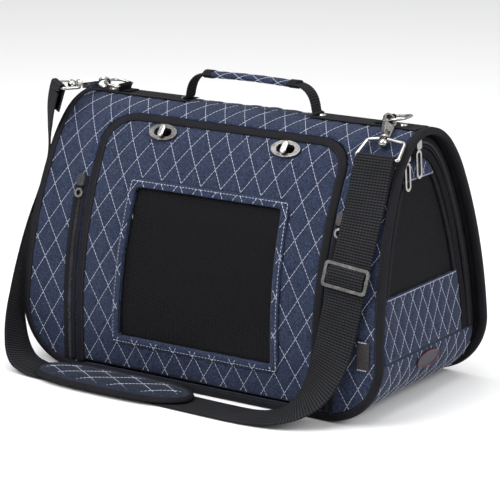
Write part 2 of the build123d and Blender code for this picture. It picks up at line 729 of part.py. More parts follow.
strap_stations = rounded_route(STRAP_ROUTE)
strap_length = sum(
    (b[0] - a[0]).length for a, b in zip(strap_stations, strap_stations[1:])
)
print(f"strap length {strap_length:.0f}")
FRONT_STATIONS, FLOOR_STATIONS = 22, 41
strap_parts = (
    ("strap_webbing_front", strap_stations[: FRONT_STATIONS + 1]),
    ("strap_webbing_floor", strap_stations[FRONT_STATIONS : FLOOR_STATIONS + 1]),
    ("strap_webbing_side", strap_stations[FLOOR_STATIONS:]),
)
for name, stations in strap_parts:
    strip = ribbon(stations)
    length = sum((b[0] - a[0]).length for a, b in zip(stations, stations[1:]))
    print(f"{name}: volume {strip.volume:.0f}, section times length {length * STRAP_WIDTH * STRAP_THICK:.0f}")
    save(strip, name)

PAD_X, PAD_Y = -73.0, -131.5
PAD_LENGTH, PAD_WIDTH, PAD_THICK = 184.0, 57.0, 9.0
with BuildPart() as shoulder_pad:
    with BuildSketch(Plane((PAD_X, PAD_Y, 3.3))):
        SlotOverall(PAD_LENGTH, PAD_WIDTH)
    extrude(amount=PAD_THICK)
    fillet(shoulder_pad.edges().group_by(Axis.Z)[-1], 3.5)
    chamfer(shoulder_pad.edges().group_by(Axis.Z)[0], 1)
save(shoulder_pad.part, "shoulder_pad")

# The adjuster sits on the front of the strap, square to it.
ADJUSTER_AT = Vector(167.9, -97.2, 137.5)
ADJUSTER_DOWN = Vector(-3.5, -10.5, -42.5).normalized()
adjuster_out = Vector(1, 0, -0.1).cross(ADJUSTER_DOWN) * -1
adjuster_plane = Plane(
    ADJUSTER_AT + adjuster_out.normalized() * 4.2, x_dir=Vector(1, 0, -0.1), z_dir=adjuster_out
)
with BuildPart() as strap_adjuster:
    with BuildSketch(adjuster_plane):
        RectangleRounded(47, 24, 4)
        RectangleRounded(41, 18, 2, mode=Mode.SUBTRACT)
        Rectangle(42, 3)
    extrude(amount=1.4, both=True)
save(strap_adjuster.part, "strap_adjuster")
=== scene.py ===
"""Soft quilted pet carrier bag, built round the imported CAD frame. All lengths are metres."""

import json
import math

import bmesh
import bpy
import numpy as np
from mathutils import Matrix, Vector


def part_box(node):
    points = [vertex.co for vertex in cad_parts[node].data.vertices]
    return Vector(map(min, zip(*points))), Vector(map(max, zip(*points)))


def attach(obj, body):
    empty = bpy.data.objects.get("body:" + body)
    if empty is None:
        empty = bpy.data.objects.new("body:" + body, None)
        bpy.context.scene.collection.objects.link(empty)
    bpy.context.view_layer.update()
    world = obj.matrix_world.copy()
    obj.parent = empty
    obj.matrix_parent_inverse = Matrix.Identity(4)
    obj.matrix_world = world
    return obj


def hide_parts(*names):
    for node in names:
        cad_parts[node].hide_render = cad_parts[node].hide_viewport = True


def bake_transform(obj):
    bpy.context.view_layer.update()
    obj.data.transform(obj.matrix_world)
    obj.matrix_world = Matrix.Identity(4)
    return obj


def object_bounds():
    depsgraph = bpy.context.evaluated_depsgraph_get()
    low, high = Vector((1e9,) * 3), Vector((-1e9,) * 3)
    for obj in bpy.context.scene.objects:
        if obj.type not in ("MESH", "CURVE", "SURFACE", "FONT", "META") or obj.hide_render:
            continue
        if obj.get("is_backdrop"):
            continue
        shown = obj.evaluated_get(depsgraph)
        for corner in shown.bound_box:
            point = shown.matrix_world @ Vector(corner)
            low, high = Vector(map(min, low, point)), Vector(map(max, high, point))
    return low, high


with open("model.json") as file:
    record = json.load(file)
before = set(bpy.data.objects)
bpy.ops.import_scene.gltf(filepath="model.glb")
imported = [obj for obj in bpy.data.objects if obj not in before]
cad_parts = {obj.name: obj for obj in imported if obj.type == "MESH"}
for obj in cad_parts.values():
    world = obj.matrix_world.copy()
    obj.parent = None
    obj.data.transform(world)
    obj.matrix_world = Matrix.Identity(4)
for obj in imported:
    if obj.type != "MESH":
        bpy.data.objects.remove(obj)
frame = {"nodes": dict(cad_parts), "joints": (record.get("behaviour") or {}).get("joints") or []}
cad_low, cad_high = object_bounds()

MM = 0.001
SIDES = (("left", -1), ("right", 1))


def unit(vectors):
    return vectors / np.linalg.norm(vectors, axis=-1, keepdims=True)


def run_lengths(path):
    """Length along a line up to each of its points."""
    return np.concatenate([[0], np.cumsum(np.linalg.norm(np.diff(path, axis=0), axis=1))])


def along_line(at, lengths, path):
    """The points of a line that lie at the lengths given."""
    return np.stack([np.interp(at, lengths, path[:, k]) for k in range(path.shape[1])], -1)


def smooth_step(x):
    x = np.clip(x, 0, 1)
    return x * x * (3 - 2 * x)


def diamond(u, v, pitch):
    """0 on the quilting lines, 1 in the middle of each diamond."""
    first, second = u / pitch[0] + v / pitch[1], u / pitch[0] - v / pitch[1]
    return np.abs(np.sin(math.pi * first) * np.sin(math.pi * second)) ** PILLOW_POWER


def signed_power(x, power):
    return np.sign(x) * np.abs(x) ** power


def stand_for(obj, *nodes):
    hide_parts(*nodes)
    return obj


# ------------------------ driving dimensions
HALF_LENGTH = 0.210
RIDGE_HALF_LENGTH = 0.195
WALL_HEIGHT = 0.050
ARCH_RADII = (0.368, 0.115, 0.0575)
ARCH_TURNS = tuple(math.radians(a) for a in (0, 26.4, 44.1, 90))
CORNER_RADIUS = 0.060
BINDING = 0.008
BINDING_UNDER = 0.0052
PANEL = 0.0036
END_RECESS = 0.014
END_CORNER = 0.050
END_GAP = 0.0055

DOOR_HALF, DOOR_CORNER = 0.140, 0.036
DOOR_BOTTOM, DOOR_TOP = 0.0086, 0.248
DOOR_BINDING = 0.009
WINDOW_BOTTOM, WINDOW_TOP = 0.043, 0.186
WINDOW_HALF_BOTTOM, WINDOW_HALF_TOP = 0.089, 0.084
HEM = 0.007
SIDE_DOOR_BOTTOM = 0.053
SIDE_RIM = 0.0272
SIDE_WINDOW_BOTTOM, SIDE_WINDOW_TOP = 0.113, 0.213
ZIP_X, ZIP_TOP, ZIP_HALF = 0.1485, 0.190, 0.007

QUILT = (0.0227, 0.036)
END_QUILT = (0.018, 0.033)
QUILT_CELLS = 12
PILLOW_POWER = 0.72
STITCH_SHARE = 0.95
STITCH_LIFT = 0.5 * MM
STITCH_EDGE = 0.4 * MM
LOCK_X, LOCK_Z, LOCK_SLOT = 0.070, 0.235, (5.5 * MM, 4.5 * MM)
STRAND_PITCH = 0.0016

# ------------------------ the arch and the ends
HALF_DEPTH = sum(
    radius * (math.cos(a) - math.cos(b))
    for radius, a, b in zip(ARCH_RADII, ARCH_TURNS, ARCH_TURNS[1:])
)
_centre = np.array([ARCH_RADII[0] - HALF_DEPTH, WALL_HEIGHT])
_centres, _starts = [], [WALL_HEIGHT]
for _i, _radius in enumerate(ARCH_RADII):
    if _i:
        _a = ARCH_TURNS[_i]
        _centre = _centre + (ARCH_RADII[_i - 1] - _radius) * np.array([-math.cos(_a), math.sin(_a)])
    _centres.append(_centre)
    _starts.append(_starts[-1] + _radius * (ARCH_TURNS[_i + 1] - ARCH_TURNS[_i]))
ARCH_HALF = _starts[-1]
ARCS = list(zip(_centres, ARCH_RADII, _starts, ARCH_TURNS))
HEIGHT = _centres[-1][1] + ARCH_RADII[-1]
TAPER = (HALF_LENGTH - RIDGE_HALF_LENGTH) / HEIGHT
LEAN = math.atan(TAPER)
CORNER_X = HALF_LENGTH - TAPER * CORNER_RADIUS - CORNER_RADIUS / math.cos(LEAN)


def arch(s):
    """Points (y, z) and outward normals of the arch, s up the front and down the back."""
    s = np.asarray(s, float)
    t = np.where(s > ARCH_HALF, 2 * ARCH_HALF - s, s)
    points = np.stack([np.full_like(t, -HALF_DEPTH), t], -1)
    lean = np.zeros_like(t)
    for centre, radius, start, turn in ARCS:
        on = t > start
        angle = turn + (t - start) / radius
        there = centre + radius * np.stack([-np.cos(angle), np.sin(angle)], -1)
        points = np.where(on[..., None], there, points)
        lean = np.where(on, angle, lean)
    normal = np.stack([-np.cos(lean), np.sin(lean)], -1)
    flip = np.where(s > ARCH_HALF, -1.0, 1.0)
    points[..., 0] *= flip
    normal[..., 0] *= flip
    return points, normal


def rise(z):
    """How far up the arch a height is, measured along the cloth."""
    z = np.asarray(z, float)
    s = z.copy()
    for centre, radius, start, turn in ARCS:
        low = centre[1] + radius * math.sin(turn)
        angle = np.arcsin(np.clip((z - centre[1]) / radius, -1, 1))
        s = np.where(z > low, start + radius * (angle - turn), s)
    return s


def height_at(s):
    return arch(s)[0][..., 1]


def arch_distance(y, z):
    """Signed distance to the arch, negative inside."""
    y = -np.abs(y)
    best = -y - HALF_DEPTH
    for centre, radius, _, turn in ARCS:
        dy, dz = centre[0] - y, z - centre[1]
        on = (np.arctan2(dz, dy) > turn) & (z > WALL_HEIGHT)
        best = np.where(on, np.hypot(dy, dz) - radius, best)
    return best


def on_wrap(u, v, out):
    """The wrap's surface: u along the bag, v up the front, over the ridge and down the back."""
    point, normal = arch(v)
    place = point + normal * np.asarray(out)[..., None]
    return np.stack([np.broadcast_to(u, place.shape[:-1]), place[..., 0], place[..., 1]], -1)


_corner_x = HALF_LENGTH - END_RECESS - TAPER * END_CORNER - END_CORNER / math.cos(LEAN)
END_ARC = END_CORNER * (math.pi / 2 + LEAN)


def end_profile(v, out, side):
    """Points (x, z) of the recessed end: v is 0 where its lower curve leaves the floor."""
    v = np.asarray(v, float)
    angle = np.clip(v / END_CORNER - math.pi / 2, -math.pi / 2, LEAN)
    radius = END_CORNER + np.asarray(out)
    x = _corner_x + radius * np.cos(angle) + np.minimum(v, 0)
    z = END_CORNER + radius * np.sin(angle)
    above = np.maximum(v - END_ARC, 0)
    return side * (x - above * math.sin(LEAN)), z + above * math.cos(LEAN)


def on_end(side):
    def place(u, v, out):
        x, z = end_profile(v, out, side)
        return np.stack([x, np.broadcast_to(u, x.shape) * side, z], -1)

    return place


def on_flat(middle, floor_z):
    """A level surface about a middle."""

    def place(u, v, out):
        return np.stack([middle[0] + u, middle[1] + v, floor_z + np.asarray(out)], -1)

    return place


def end_rise(z):
    """How far up the end's profile a height over the lower curve is."""
    tangent_z = END_CORNER + END_CORNER * math.sin(LEAN)
    return END_ARC + (np.asarray(z, float) - tangent_z) / math.cos(LEAN)


def end_height(v):
    return end_profile(v, 0.0, 1)[1]


# ------------------------ regions, signed distances
def box_distance(u, v, half_u, low_v, high_v, corner_low=0.0, corner_high=0.0):
    """A box about u = 0 with rounded lower and upper corners."""
    middle, half_v = (low_v + high_v) / 2, (high_v - low_v) / 2
    corner = np.where(v > middle, corner_high, corner_low)
    du, dv = np.abs(u) - half_u + corner, np.abs(v - middle) - half_v + corner
    outside = np.hypot(np.maximum(du, 0), np.maximum(dv, 0))
    return outside + np.minimum(np.maximum(du, dv), 0) - corner


def outline_distance(u, v, inset=0.0):
    """The wrap's outline: ends that lean in, rounded lower corners."""
    z = height_at(v)
    wall = (np.abs(u) - (HALF_LENGTH - TAPER * z)) * math.cos(LEAN)
    dx, dz = np.abs(u) - CORNER_X, z - CORNER_RADIUS
    rounded = np.hypot(dx, dz) - CORNER_RADIUS
    in_corner = (dx > 0) & (dz < 0)
    return np.where(in_corner, rounded, np.maximum(wall, -z)) + inset


def door_distance(u, v, grow=0.0):
    corner = DOOR_CORNER + grow
    top, bottom = float(rise(DOOR_TOP + grow)), DOOR_BOTTOM - grow
    z_like = np.where(v > ARCH_HALF, 2 * ARCH_HALF, v)
    return box_distance(u, z_like, DOOR_HALF + grow, bottom, top, 0.0, corner)


def window_distance(u, v, grow=0.0):
    z = height_at(v)
    share = np.clip((z - WINDOW_BOTTOM) / (WINDOW_TOP - WINDOW_BOTTOM), -0.1, 1.1)
    half = WINDOW_HALF_BOTTOM + (WINDOW_HALF_TOP - WINDOW_HALF_BOTTOM) * share + grow
    low, high = float(rise(WINDOW_BOTTOM)) - grow, float(rise(WINDOW_TOP)) + grow
    v = np.where(v > ARCH_HALF, 2 * ARCH_HALF, v)
    return box_distance(u, v, half, low, high, 0.006 + grow, 0.006 + grow)


def end_window_distance(u, v):
    z = end_height(v)
    inside = arch_distance(u, z) + SIDE_RIM + HEM
    low, high = SIDE_WINDOW_BOTTOM - z, z - SIDE_WINDOW_TOP
    return np.maximum(inside, np.maximum(low, high))


# ------------------------ mesh helpers
def add_object(name, data):
    obj = bpy.data.objects.new(name, data)
    bpy.context.scene.collection.objects.link(obj)
    return obj


def make_mesh(name, verts, faces, body, materials=(), uv=None, smooth=True):
    mesh = bpy.data.meshes.new(name)
    mesh.from_pydata([tuple(p) for p in verts], [], [tuple(f) for f in faces])
    mesh.validate()
    if smooth:
        mesh.polygons.foreach_set("use_smooth", [True] * len(mesh.polygons))
    if uv is not None:
        layer = mesh.uv_layers.new(name="cloth")
        index = np.zeros(len(mesh.loops), int)
        mesh.loops.foreach_get("vertex_index", index)
        layer.data.foreach_set("uv", np.asarray(uv)[index].astype(float).ravel())
    obj = add_object(name, mesh)
    for material in materials:
        mesh.materials.append(material)
    if body:
        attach(obj, body)
    return obj


def cloth(name, low, high, cell, region, place, relief, thickness, body, materials):
    """A sheet over a region of a surface; vertices beside the outline are drawn onto it."""
    us = np.arange(math.floor(low[0] / cell[0]), math.ceil(high[0] / cell[0]) + 1) * cell[0]
    vs = np.arange(math.floor(low[1] / cell[1]), math.ceil(high[1] / cell[1]) + 1) * cell[1]
    uu, vv = np.meshgrid(us, vs, indexing="ij")
    step = 2e-4
    for _ in range(2):
        d = region(uu, vv)
        gu = (region(uu + step, vv) - region(uu - step, vv)) / (2 * step)
        gv = (region(uu, vv + step) - region(uu, vv - step)) / (2 * step)
        reach = 0.5 * np.maximum(np.abs(gu) * cell[0], np.abs(gv) * cell[1])
        near = np.abs(d) <= reach * 1.02
        uu = np.where(near, uu - d * gu, uu)
        vv = np.where(near, vv - d * gv, vv)
    d = region(uu, vv)
    good = d < 0.25 * MM
    keep = good[:-1, :-1] & good[1:, :-1] & good[1:, 1:] & good[:-1, 1:]
    used = np.zeros(uu.shape, bool)
    for a, b in ((0, 0), (1, 0), (1, 1), (0, 1)):
        used[a : a + keep.shape[0], b : b + keep.shape[1]] |= keep
    number = np.full(uu.shape, -1)
    number[used] = np.arange(used.sum())
    flat_u, flat_v = uu[used], vv[used]
    verts = place(flat_u, flat_v, relief(flat_u, flat_v, d[used]))
    i, j = np.nonzero(keep)
    faces = np.stack([number[i, j], number[i + 1, j], number[i + 1, j + 1], number[i, j + 1]], -1)
    uv = np.stack([flat_u, flat_v], -1)
    obj = make_mesh(name, verts, faces.tolist(), body, materials, uv)
    middle = obj.data.polygons[len(obj.data.polygons) // 2]
    a, b, c = (np.array(verts[k]) for k in list(middle.vertices)[:3])
    k = middle.vertices[0]
    here = flat_u[k : k + 1], flat_v[k : k + 1]
    outward = (place(*here, np.array([MM])) - place(*here, np.array([0.0])))[0]
    if np.dot(np.cross(b - a, c - a), outward) < 0:
        obj.data.flip_normals()
    if thickness:
        solid = obj.modifiers.new("thickness", "SOLIDIFY")
        solid.thickness = thickness
        solid.offset = -1
        solid.use_even_offset = False
        if len(materials) > 1:
            solid.material_offset = 1
            solid.material_offset_rim = 0
    return obj


def shrunk(region, by):
    """The region with its edge drawn in; a negative amount lets it out."""
    return lambda u, v: region(u, v) + by


def crown(d, high, soft):
    """A cushion's height: high in the middle and rounded down to its edge."""
    return high * (1 - np.exp(np.minimum(d, 0) / soft))


def quilted(pitch, puff=1.2 * MM, sunk=0.35 * MM, edge=4 * MM, soft=0.8 * MM):
    """Relief of diamond quilting, pulled flat near the cloth's edge."""

    def relief(u, v, d):
        fade = np.clip(-d / edge, 0.15, 1)
        sway = np.sin(u * 31 + 1.3) * np.sin(v * 23 + 0.7) + 0.5 * np.sin(u * 57 - v * 41)
        return (diamond(u, v, pitch) * puff - sunk) * fade + soft * sway * np.clip(-d / 0.03, 0, 1)

    return relief


def capsules(name, place, starts, ends, out, wide, high, body, material):
    """Short rounded bars on a surface, such as stitches or zip teeth, in one mesh."""
    lift = np.zeros(len(starts)) + out
    middle = (starts + ends) / 2
    normals = unit(place(*middle.T, lift + MM) - place(*middle.T, lift))
    starts, ends = place(*starts.T, lift), place(*ends.T, lift)
    along = ends - starts
    length = np.linalg.norm(along, axis=1, keepdims=True)
    along = along / length
    side = unit(np.cross(along, normals))
    rings = []
    for share in (0.18, 0.82):
        middle = starts + along * length * share
        for a, b in ((1, 0), (0, 1), (-1, 0), (0, -1)):
            rings.append(middle + side * wide * a + normals * high * b)
    verts = np.stack([starts, *rings, ends], 1).reshape(-1, 3)
    pattern = []
    for k in range(4):
        n = (k + 1) % 4
        pattern += [(0, 1 + n, 1 + k), (9, 5 + k, 5 + n)]
        pattern.append((1 + k, 1 + n, 5 + n, 5 + k))
    faces = [tuple(i * 10 + c for c in f) for i in range(len(starts)) for f in pattern]
    return make_mesh(name, verts, faces, body, [material])


def quilt_stitches(name, low, high, pitch, region, place, body, relief):
    """The threads of the diamond quilting: both families of slanting lines."""
    starts, ends = [], []
    step = pitch[1] / QUILT_CELLS
    js = np.arange(math.floor(low[1] / step), math.ceil(high[1] / step))
    slant = max(abs(low[1]), abs(high[1])) / pitch[1] + 1
    lines = range(math.floor(low[0] / pitch[0] - slant), math.ceil(high[0] / pitch[0] + slant) + 1)
    for family in (1, -1):
        for k in lines:
            v0, v1 = js * step, (js + STITCH_SHARE) * step
            starts.append(np.stack([pitch[0] * (k - family * v0 / pitch[1]), v0], -1))
            ends.append(np.stack([pitch[0] * (k - family * v1 / pitch[1]), v1], -1))
    starts, ends = np.concatenate(starts), np.concatenate(ends)
    inside = (starts[:, 0] > low[0]) & (starts[:, 0] < high[0])
    starts, ends = starts[inside], ends[inside]
    d = np.maximum(region(*starts.T), region(*ends.T))
    kept = d < STITCH_EDGE
    starts, ends, d = starts[kept], ends[kept], d[kept]
    out = relief(*((starts + ends) / 2).T, d) + STITCH_LIFT
    return capsules(name, place, starts, ends, out, 0.3 * MM, 0.3 * MM, body, THREAD)


def seam(name, path, place, out, body, material, stitch=3.4 * MM, wide=0.4 * MM):
    """A line of stitches along a path on a surface."""
    lengths = run_lengths(path)
    at = np.arange(int(lengths[-1] / stitch)) * stitch
    start = along_line(at, lengths, path)
    end = along_line(at + 0.82 * stitch, lengths, path)
    return capsules(name, place, start, end, out, wide, 0.3 * MM, body, material)


def tube_faces(size, count, first=0, closed=False):
    """Faces of a tube made of rows of points; its ends are capped unless it is closed."""
    faces = []
    for r in range(count if closed else count - 1):
        row, following = first + r * size, first + (r + 1) % count * size
        for c in range(size):
            d = (c + 1) % size
            faces.append((row + c, row + d, following + d, following + c))
    if not closed:
        last = first + (count - 1) * size
        faces.append(tuple(reversed(range(first, first + size))))
        faces.append(tuple(range(last, last + size)))
    return faces


def oval(wide, high, count, middle=(0.0, 0.0)):
    """A closed profile of points round an ellipse."""
    angles = np.linspace(0, 2 * math.pi, count + 1)[:-1]
    return [(middle[0] + wide * math.cos(a), middle[1] + high * math.sin(a)) for a in angles]


def sweep(name, points, inward, normal, profile, body, materials, closed=False):
    """A profile of (inward, out) points carried along a line."""
    count, size = len(points), len(profile)
    rows = [points + inward * i + normal * n for i, n in profile]
    verts = np.stack(rows, 1).reshape(-1, 3)
    faces = tube_faces(size, count, closed=closed)
    lengths = run_lengths(points)
    around = np.cumsum([0] + [math.dist(a, b) for a, b in zip(profile, profile[1:])])
    uv = np.stack([np.repeat(lengths, size), np.tile(around, count)], -1)
    obj = make_mesh(name, verts, faces, body, materials, uv)
    bm = bmesh.new()
    bm.from_mesh(obj.data)
    bmesh.ops.recalc_face_normals(bm, faces=bm.faces)
    bm.to_mesh(obj.data)
    bm.free()
    return obj


def inward_side(path, turn):
    """The direction beside a flat line at each of its points; turn picks the side."""
    tangent = unit(np.gradient(np.asarray(path, float), axis=0))
    return np.stack([-tangent[:, 1], tangent[:, 0]], -1) * turn


def edge_frames(path, place, turn):
    """3-D line, inward direction and normal of an outline drawn on a surface."""
    path = np.asarray(path, float)
    zero = np.zeros(len(path))
    base = place(*path.T, zero)
    inward = place(*(path + inward_side(path, turn) * MM).T, zero) - base
    return base, unit(inward), unit(place(*path.T, zero + MM) - base)


def folded_tape(width, under, proud=1.4 * MM):
    """The closed outline of a tape folded over an edge, as (inward, out) points."""
    return [
        (width, 0.0),
        (width - 0.3 * MM, proud * 0.75),
        (width - 1.2 * MM, proud),
        (width * 0.55, proud * 1.12),
        (1.6 * MM, proud * 0.95),
        (0.4 * MM, proud * 0.35),
        (0.0, -under * 0.3),
        (0.3 * MM, -under * 0.75),
        (1.4 * MM, -under),
        (width - 0.8 * MM, -under * 1.02),
        (width, -under * 0.85),
        (width * 0.6, -under * 0.7),
        (width * 0.55, -0.2 * MM),
    ]


def binding(name, path, place, turn, width, under, body, closed=False, proud=1.4 * MM):
    """A binding along an outline, with a line of stitches near its inner edge."""
    base, inward, normal = edge_frames(path, place, turn)
    profile = folded_tape(width, under, proud)
    tape = sweep(name, base, inward, normal, profile, body, [BLACK_TAPE], closed)
    inner = np.asarray(path) + inward_side(path, turn) * (width - 1.7 * MM)
    lift = proud + 0.05 * MM
    seam(f"{name}_stitching", inner, place, lift, body, THREAD_BLACK, 3.2 * MM, 0.3 * MM)
    return tape


def arc_points(centre, radius, first, last, count):
    angles = np.radians(np.linspace(first, last, count))
    return np.stack([centre[0] + radius * np.cos(angles), centre[1] + radius * np.sin(angles)], -1)


# ------------------------ materials
def feed(tree, node, **inputs):
    """Gives each input a number, or a link from the socket that feeds it."""
    for name, value in inputs.items():
        socket = node.inputs[name.replace("_", " ")]
        if isinstance(value, bpy.types.NodeSocket):
            tree.links.new(value, socket)
        else:
            socket.default_value = value
    return node


def new_node(tree, kind, **inputs):
    return feed(tree, tree.nodes.new("ShaderNode" + kind), **inputs)


def new_material(name, colour, roughness, metallic=0.0, sheen=0.0):
    material = bpy.data.materials.new(name)
    material.use_nodes = True
    tree = material.node_tree
    shader = tree.nodes["Principled BSDF"]
    feed(tree, shader, Base_Color=(*colour, 1), Roughness=roughness, Metallic=metallic)
    if not metallic:
        feed(tree, shader, Specular_IOR_Level=0.12 if roughness > 0.55 else 0.35)
    if sheen:
        feed(tree, shader, Sheen_Weight=sheen, Sheen_Roughness=0.5)
    material.diffuse_color = (*colour, 1)
    return material, tree, shader


def noise(tree, vector, scale, detail=3.0, rough=0.6):
    node = new_node(tree, "TexNoise", Vector=vector, Scale=scale, Detail=detail, Roughness=rough)
    return node.outputs["Fac"]


def wave(tree, vector, scale, direction):
    node = new_node(tree, "TexWave", Vector=vector, Scale=scale, Distortion=0.4, Detail=1.0)
    node.bands_direction = direction
    return node.outputs["Fac"]


def ramp(tree, factor, stops):
    node = new_node(tree, "ValToRGB", Fac=factor)
    elements = node.color_ramp.elements
    elements[0].position, elements[0].color = stops[0][0], (*stops[0][1], 1)
    elements[1].position, elements[1].color = stops[-1][0], (*stops[-1][1], 1)
    for position, colour in stops[1:-1]:
        elements.new(position).color = (*colour, 1)
    return node.outputs["Color"]


def mix(tree, factor, first, second, kind="MIX"):
    node = tree.nodes.new("ShaderNodeMix")
    node.data_type, node.blend_type = "RGBA", kind
    return feed(tree, node, Factor=factor, A=first, B=second).outputs["Result"]


def bump(tree, shader, height, strength, distance):
    node = new_node(tree, "Bump", Height=height, Strength=strength, Distance=distance)
    feed(tree, shader, Normal=node.outputs["Normal"])


def coords(tree, kind="Object"):
    return new_node(tree, "TexCoord").outputs[kind]


def denim(name, dark, light):
    """Heathered yarn: fine specks over slow changes of shade, with a woven bump."""
    material, tree, shader = new_material(name, dark, 0.85, sheen=0.06)
    where = coords(tree)
    between = tuple((a + b) / 2.4 for a, b in zip(dark, light))
    specks = noise(tree, where, 620.0, 4.0, 0.75)
    fine = ramp(tree, specks, [(0.36, dark), (0.50, between), (0.66, light)])
    faded = ramp(tree, noise(tree, where, 14.0), [(0.3, (0.78, 0.80, 0.86)), (0.7, (1, 1, 1))])
    feed(tree, shader, Base_Color=mix(tree, 1.0, fine, faded, "MULTIPLY"))
    bump(tree, shader, noise(tree, where, 900.0, 2.0), 0.5, 0.0004)
    return material


def woven_black(name, colour, pale, scale, flat=0.5):
    """Black tape or webbing: yarn ribs one way, crossing yarns the other. Their colour is painted light and shade:
    darker in the grooves between the yarns, paler on their tops.
    """
    material, tree, shader = new_material(name, colour, 0.8)
    where = coords(tree, "UV")
    both = mix(tree, flat, wave(tree, where, scale, "X"), wave(tree, where, scale * 0.8, "Y"))
    # Painted shade: the colour follows the weave, dark in the grooves between the ribs and pale on the rib tops.
    shade = ramp(tree, both, [(0.2, colour), (0.9, pale)])
    worn = ramp(tree, noise(tree, coords(tree), 45.0), [(0.3, (0.7, 0.7, 0.7)), (0.75, (1, 1, 1))])
    feed(tree, shader, Base_Color=mix(tree, 1.0, shade, worn, "MULTIPLY"))
    bump(tree, shader, both, 0.6, 0.0005)
    return material


def plain_noise(name, colour, pale, scale, roughness, strength=0.2):
    """A plain surface with fine grain in its shade and height."""
    material, tree, shader = new_material(name, colour, roughness)
    grain = noise(tree, coords(tree), scale)
    feed(tree, shader, Base_Color=ramp(tree, grain, [(0.3, colour), (0.7, pale)]))
    bump(tree, shader, grain, strength, 0.0003)
    return material


def nickel_finish(name, dark, pale):
    """Plated metal: slow smudges in its shade and gloss."""
    material, tree, shader = new_material(name, pale, 0.2, 1.0)
    where = coords(tree)
    smudge = noise(tree, where, 160.0, 4.0)
    gloss = new_node(tree, "MapRange", Value=smudge, To_Min=0.13, To_Max=0.34).outputs["Result"]
    feed(tree, shader, Roughness=gloss, Base_Color=ramp(tree, smudge, [(0.3, dark), (0.7, pale)]))
    bump(tree, shader, noise(tree, where, 90.0), 0.05, 0.0002)
    return material


DENIM = denim("quilted_denim", (0.0055, 0.0085, 0.020), (0.044, 0.060, 0.112))
PAD_DENIM = denim("pad_denim", (0.004, 0.006, 0.011), (0.024, 0.034, 0.058))
LINING = plain_noise("black_lining", (0.004, 0.004, 0.005), (0.010, 0.010, 0.012), 700.0, 0.85)
# In both woven blacks the paler colour is painted light on the yarn tops, over painted shade between them.
BLACK_TAPE = woven_black("black_binding", (0.006, 0.006, 0.008), (0.020, 0.020, 0.025), 520.0)
WEBBING = woven_black("black_webbing", (0.004, 0.004, 0.005), (0.030, 0.031, 0.035), 122.0, flat=0.3)
STRAND = plain_noise("black_mesh", (0.005, 0.005, 0.006), (0.014, 0.014, 0.017), 900.0, 0.6)
THREAD = plain_noise("pale_thread", (0.36, 0.38, 0.48), (0.54, 0.56, 0.66), 900.0, 0.7)
THREAD_BLACK = plain_noise("black_thread", (0.020, 0.020, 0.024), (0.045, 0.045, 0.052), 900.0, 0.7)
COIL = plain_noise("zip_coil", (0.014, 0.014, 0.016), (0.045, 0.045, 0.05), 500.0, 0.35)
NICKEL = nickel_finish("nickel", (0.34, 0.33, 0.32), (0.52, 0.51, 0.49))
PLATE_NICKEL = nickel_finish("nickel_plate", (0.15, 0.142, 0.137), (0.27, 0.258, 0.25))
RUBBER = plain_noise("badge_rubber", (0.012, 0.013, 0.024), (0.020, 0.021, 0.036), 400.0, 0.4)
RIM = plain_noise("badge_rim", (0.10, 0.012, 0.022), (0.14, 0.02, 0.03), 400.0, 0.45)
LABEL = plain_noise("label_cloth", (0.020, 0.017, 0.018), (0.045, 0.040, 0.042), 800.0, 0.8)
FLEECE = plain_noise("mat_fleece", (0.010, 0.010, 0.012), (0.028, 0.028, 0.032), 260.0, 0.95, strength=0.8)
BOARD = plain_noise("board_plastic", (0.015, 0.015, 0.016), (0.03, 0.03, 0.032), 300.0, 0.5)

QUILT_CELL = tuple(p / QUILT_CELLS for p in QUILT)
END_CELL = tuple(p / QUILT_CELLS for p in END_QUILT)


# ------------------------ wrap panels
def front_region(u, v):
    half = v - ARCH_HALF
    return np.maximum.reduce([outline_distance(u, v, 2.5 * MM), -door_distance(u, v, 0.6 * MM), half])


def back_region(u, v):
    return np.maximum(outline_distance(u, v, 2.5 * MM), ARCH_HALF - v)


wrap_relief = quilted(QUILT, edge=6 * MM)


def half_relief(u, v, d):
    """The wrap's relief, with no pull along the ridge, where its two nodes only meet."""
    d = np.where(np.abs(v - ARCH_HALF) < 8 * MM, outline_distance(u, v), d)
    return wrap_relief(u, v, d)


for name, region, low_v, high_v in (
    ("front_panel", front_region, 0.0, ARCH_HALF),
    ("back_panel", back_region, ARCH_HALF, 2 * ARCH_HALF),
):
    low, high = (-HALF_LENGTH, low_v), (HALF_LENGTH, high_v)
    sheet = cloth(
        f"{name}_cloth", low, high, QUILT_CELL, region, on_wrap, half_relief, PANEL, "root",
        [DENIM, LINING],
    )
    stand_for(sheet, name)
    quilt_stitches(
        f"{name}_stitching", low, high, QUILT, region, on_wrap, "root", half_relief
    )


# ------------------------ bindings on the wrap
def outline_path(side):
    """The wrap's edge on one side, from the front's lower edge over the ridge to the back's."""
    low = arc_points((CORNER_X, CORNER_RADIUS), CORNER_RADIUS, -90, math.degrees(LEAN), 24)
    low[:, 1] = np.where(low[:, 1] > WALL_HEIGHT, rise(low[:, 1]), low[:, 1])
    climb = np.linspace(low[-1, 1] + 4 * MM, 2 * ARCH_HALF - low[-1, 1] - 4 * MM, 140)
    edge = np.stack([HALF_LENGTH - TAPER * height_at(climb), climb], -1)
    down = low[::-1] * [1, -1] + [0, 2 * ARCH_HALF]
    return np.concatenate([low, edge, down]) * [side, 1]


for name, side in SIDES:
    run = outline_path(side)
    piece = binding(f"edge_binding_{name}_tape", run, on_wrap, side, BINDING, BINDING_UNDER, "root")
    stand_for(piece, f"edge_binding_{name}")

for name, v, turn in (("front", 0.0, 1), ("rear", 2 * ARCH_HALF, -1)):
    run = np.stack([np.linspace(-CORNER_X, CORNER_X, 60), np.full(60, v)], -1)
    piece = binding(f"bottom_binding_{name}_tape", run, on_wrap, turn, BINDING, BINDING_UNDER, "root")
    stand_for(piece, f"bottom_binding_{name}")


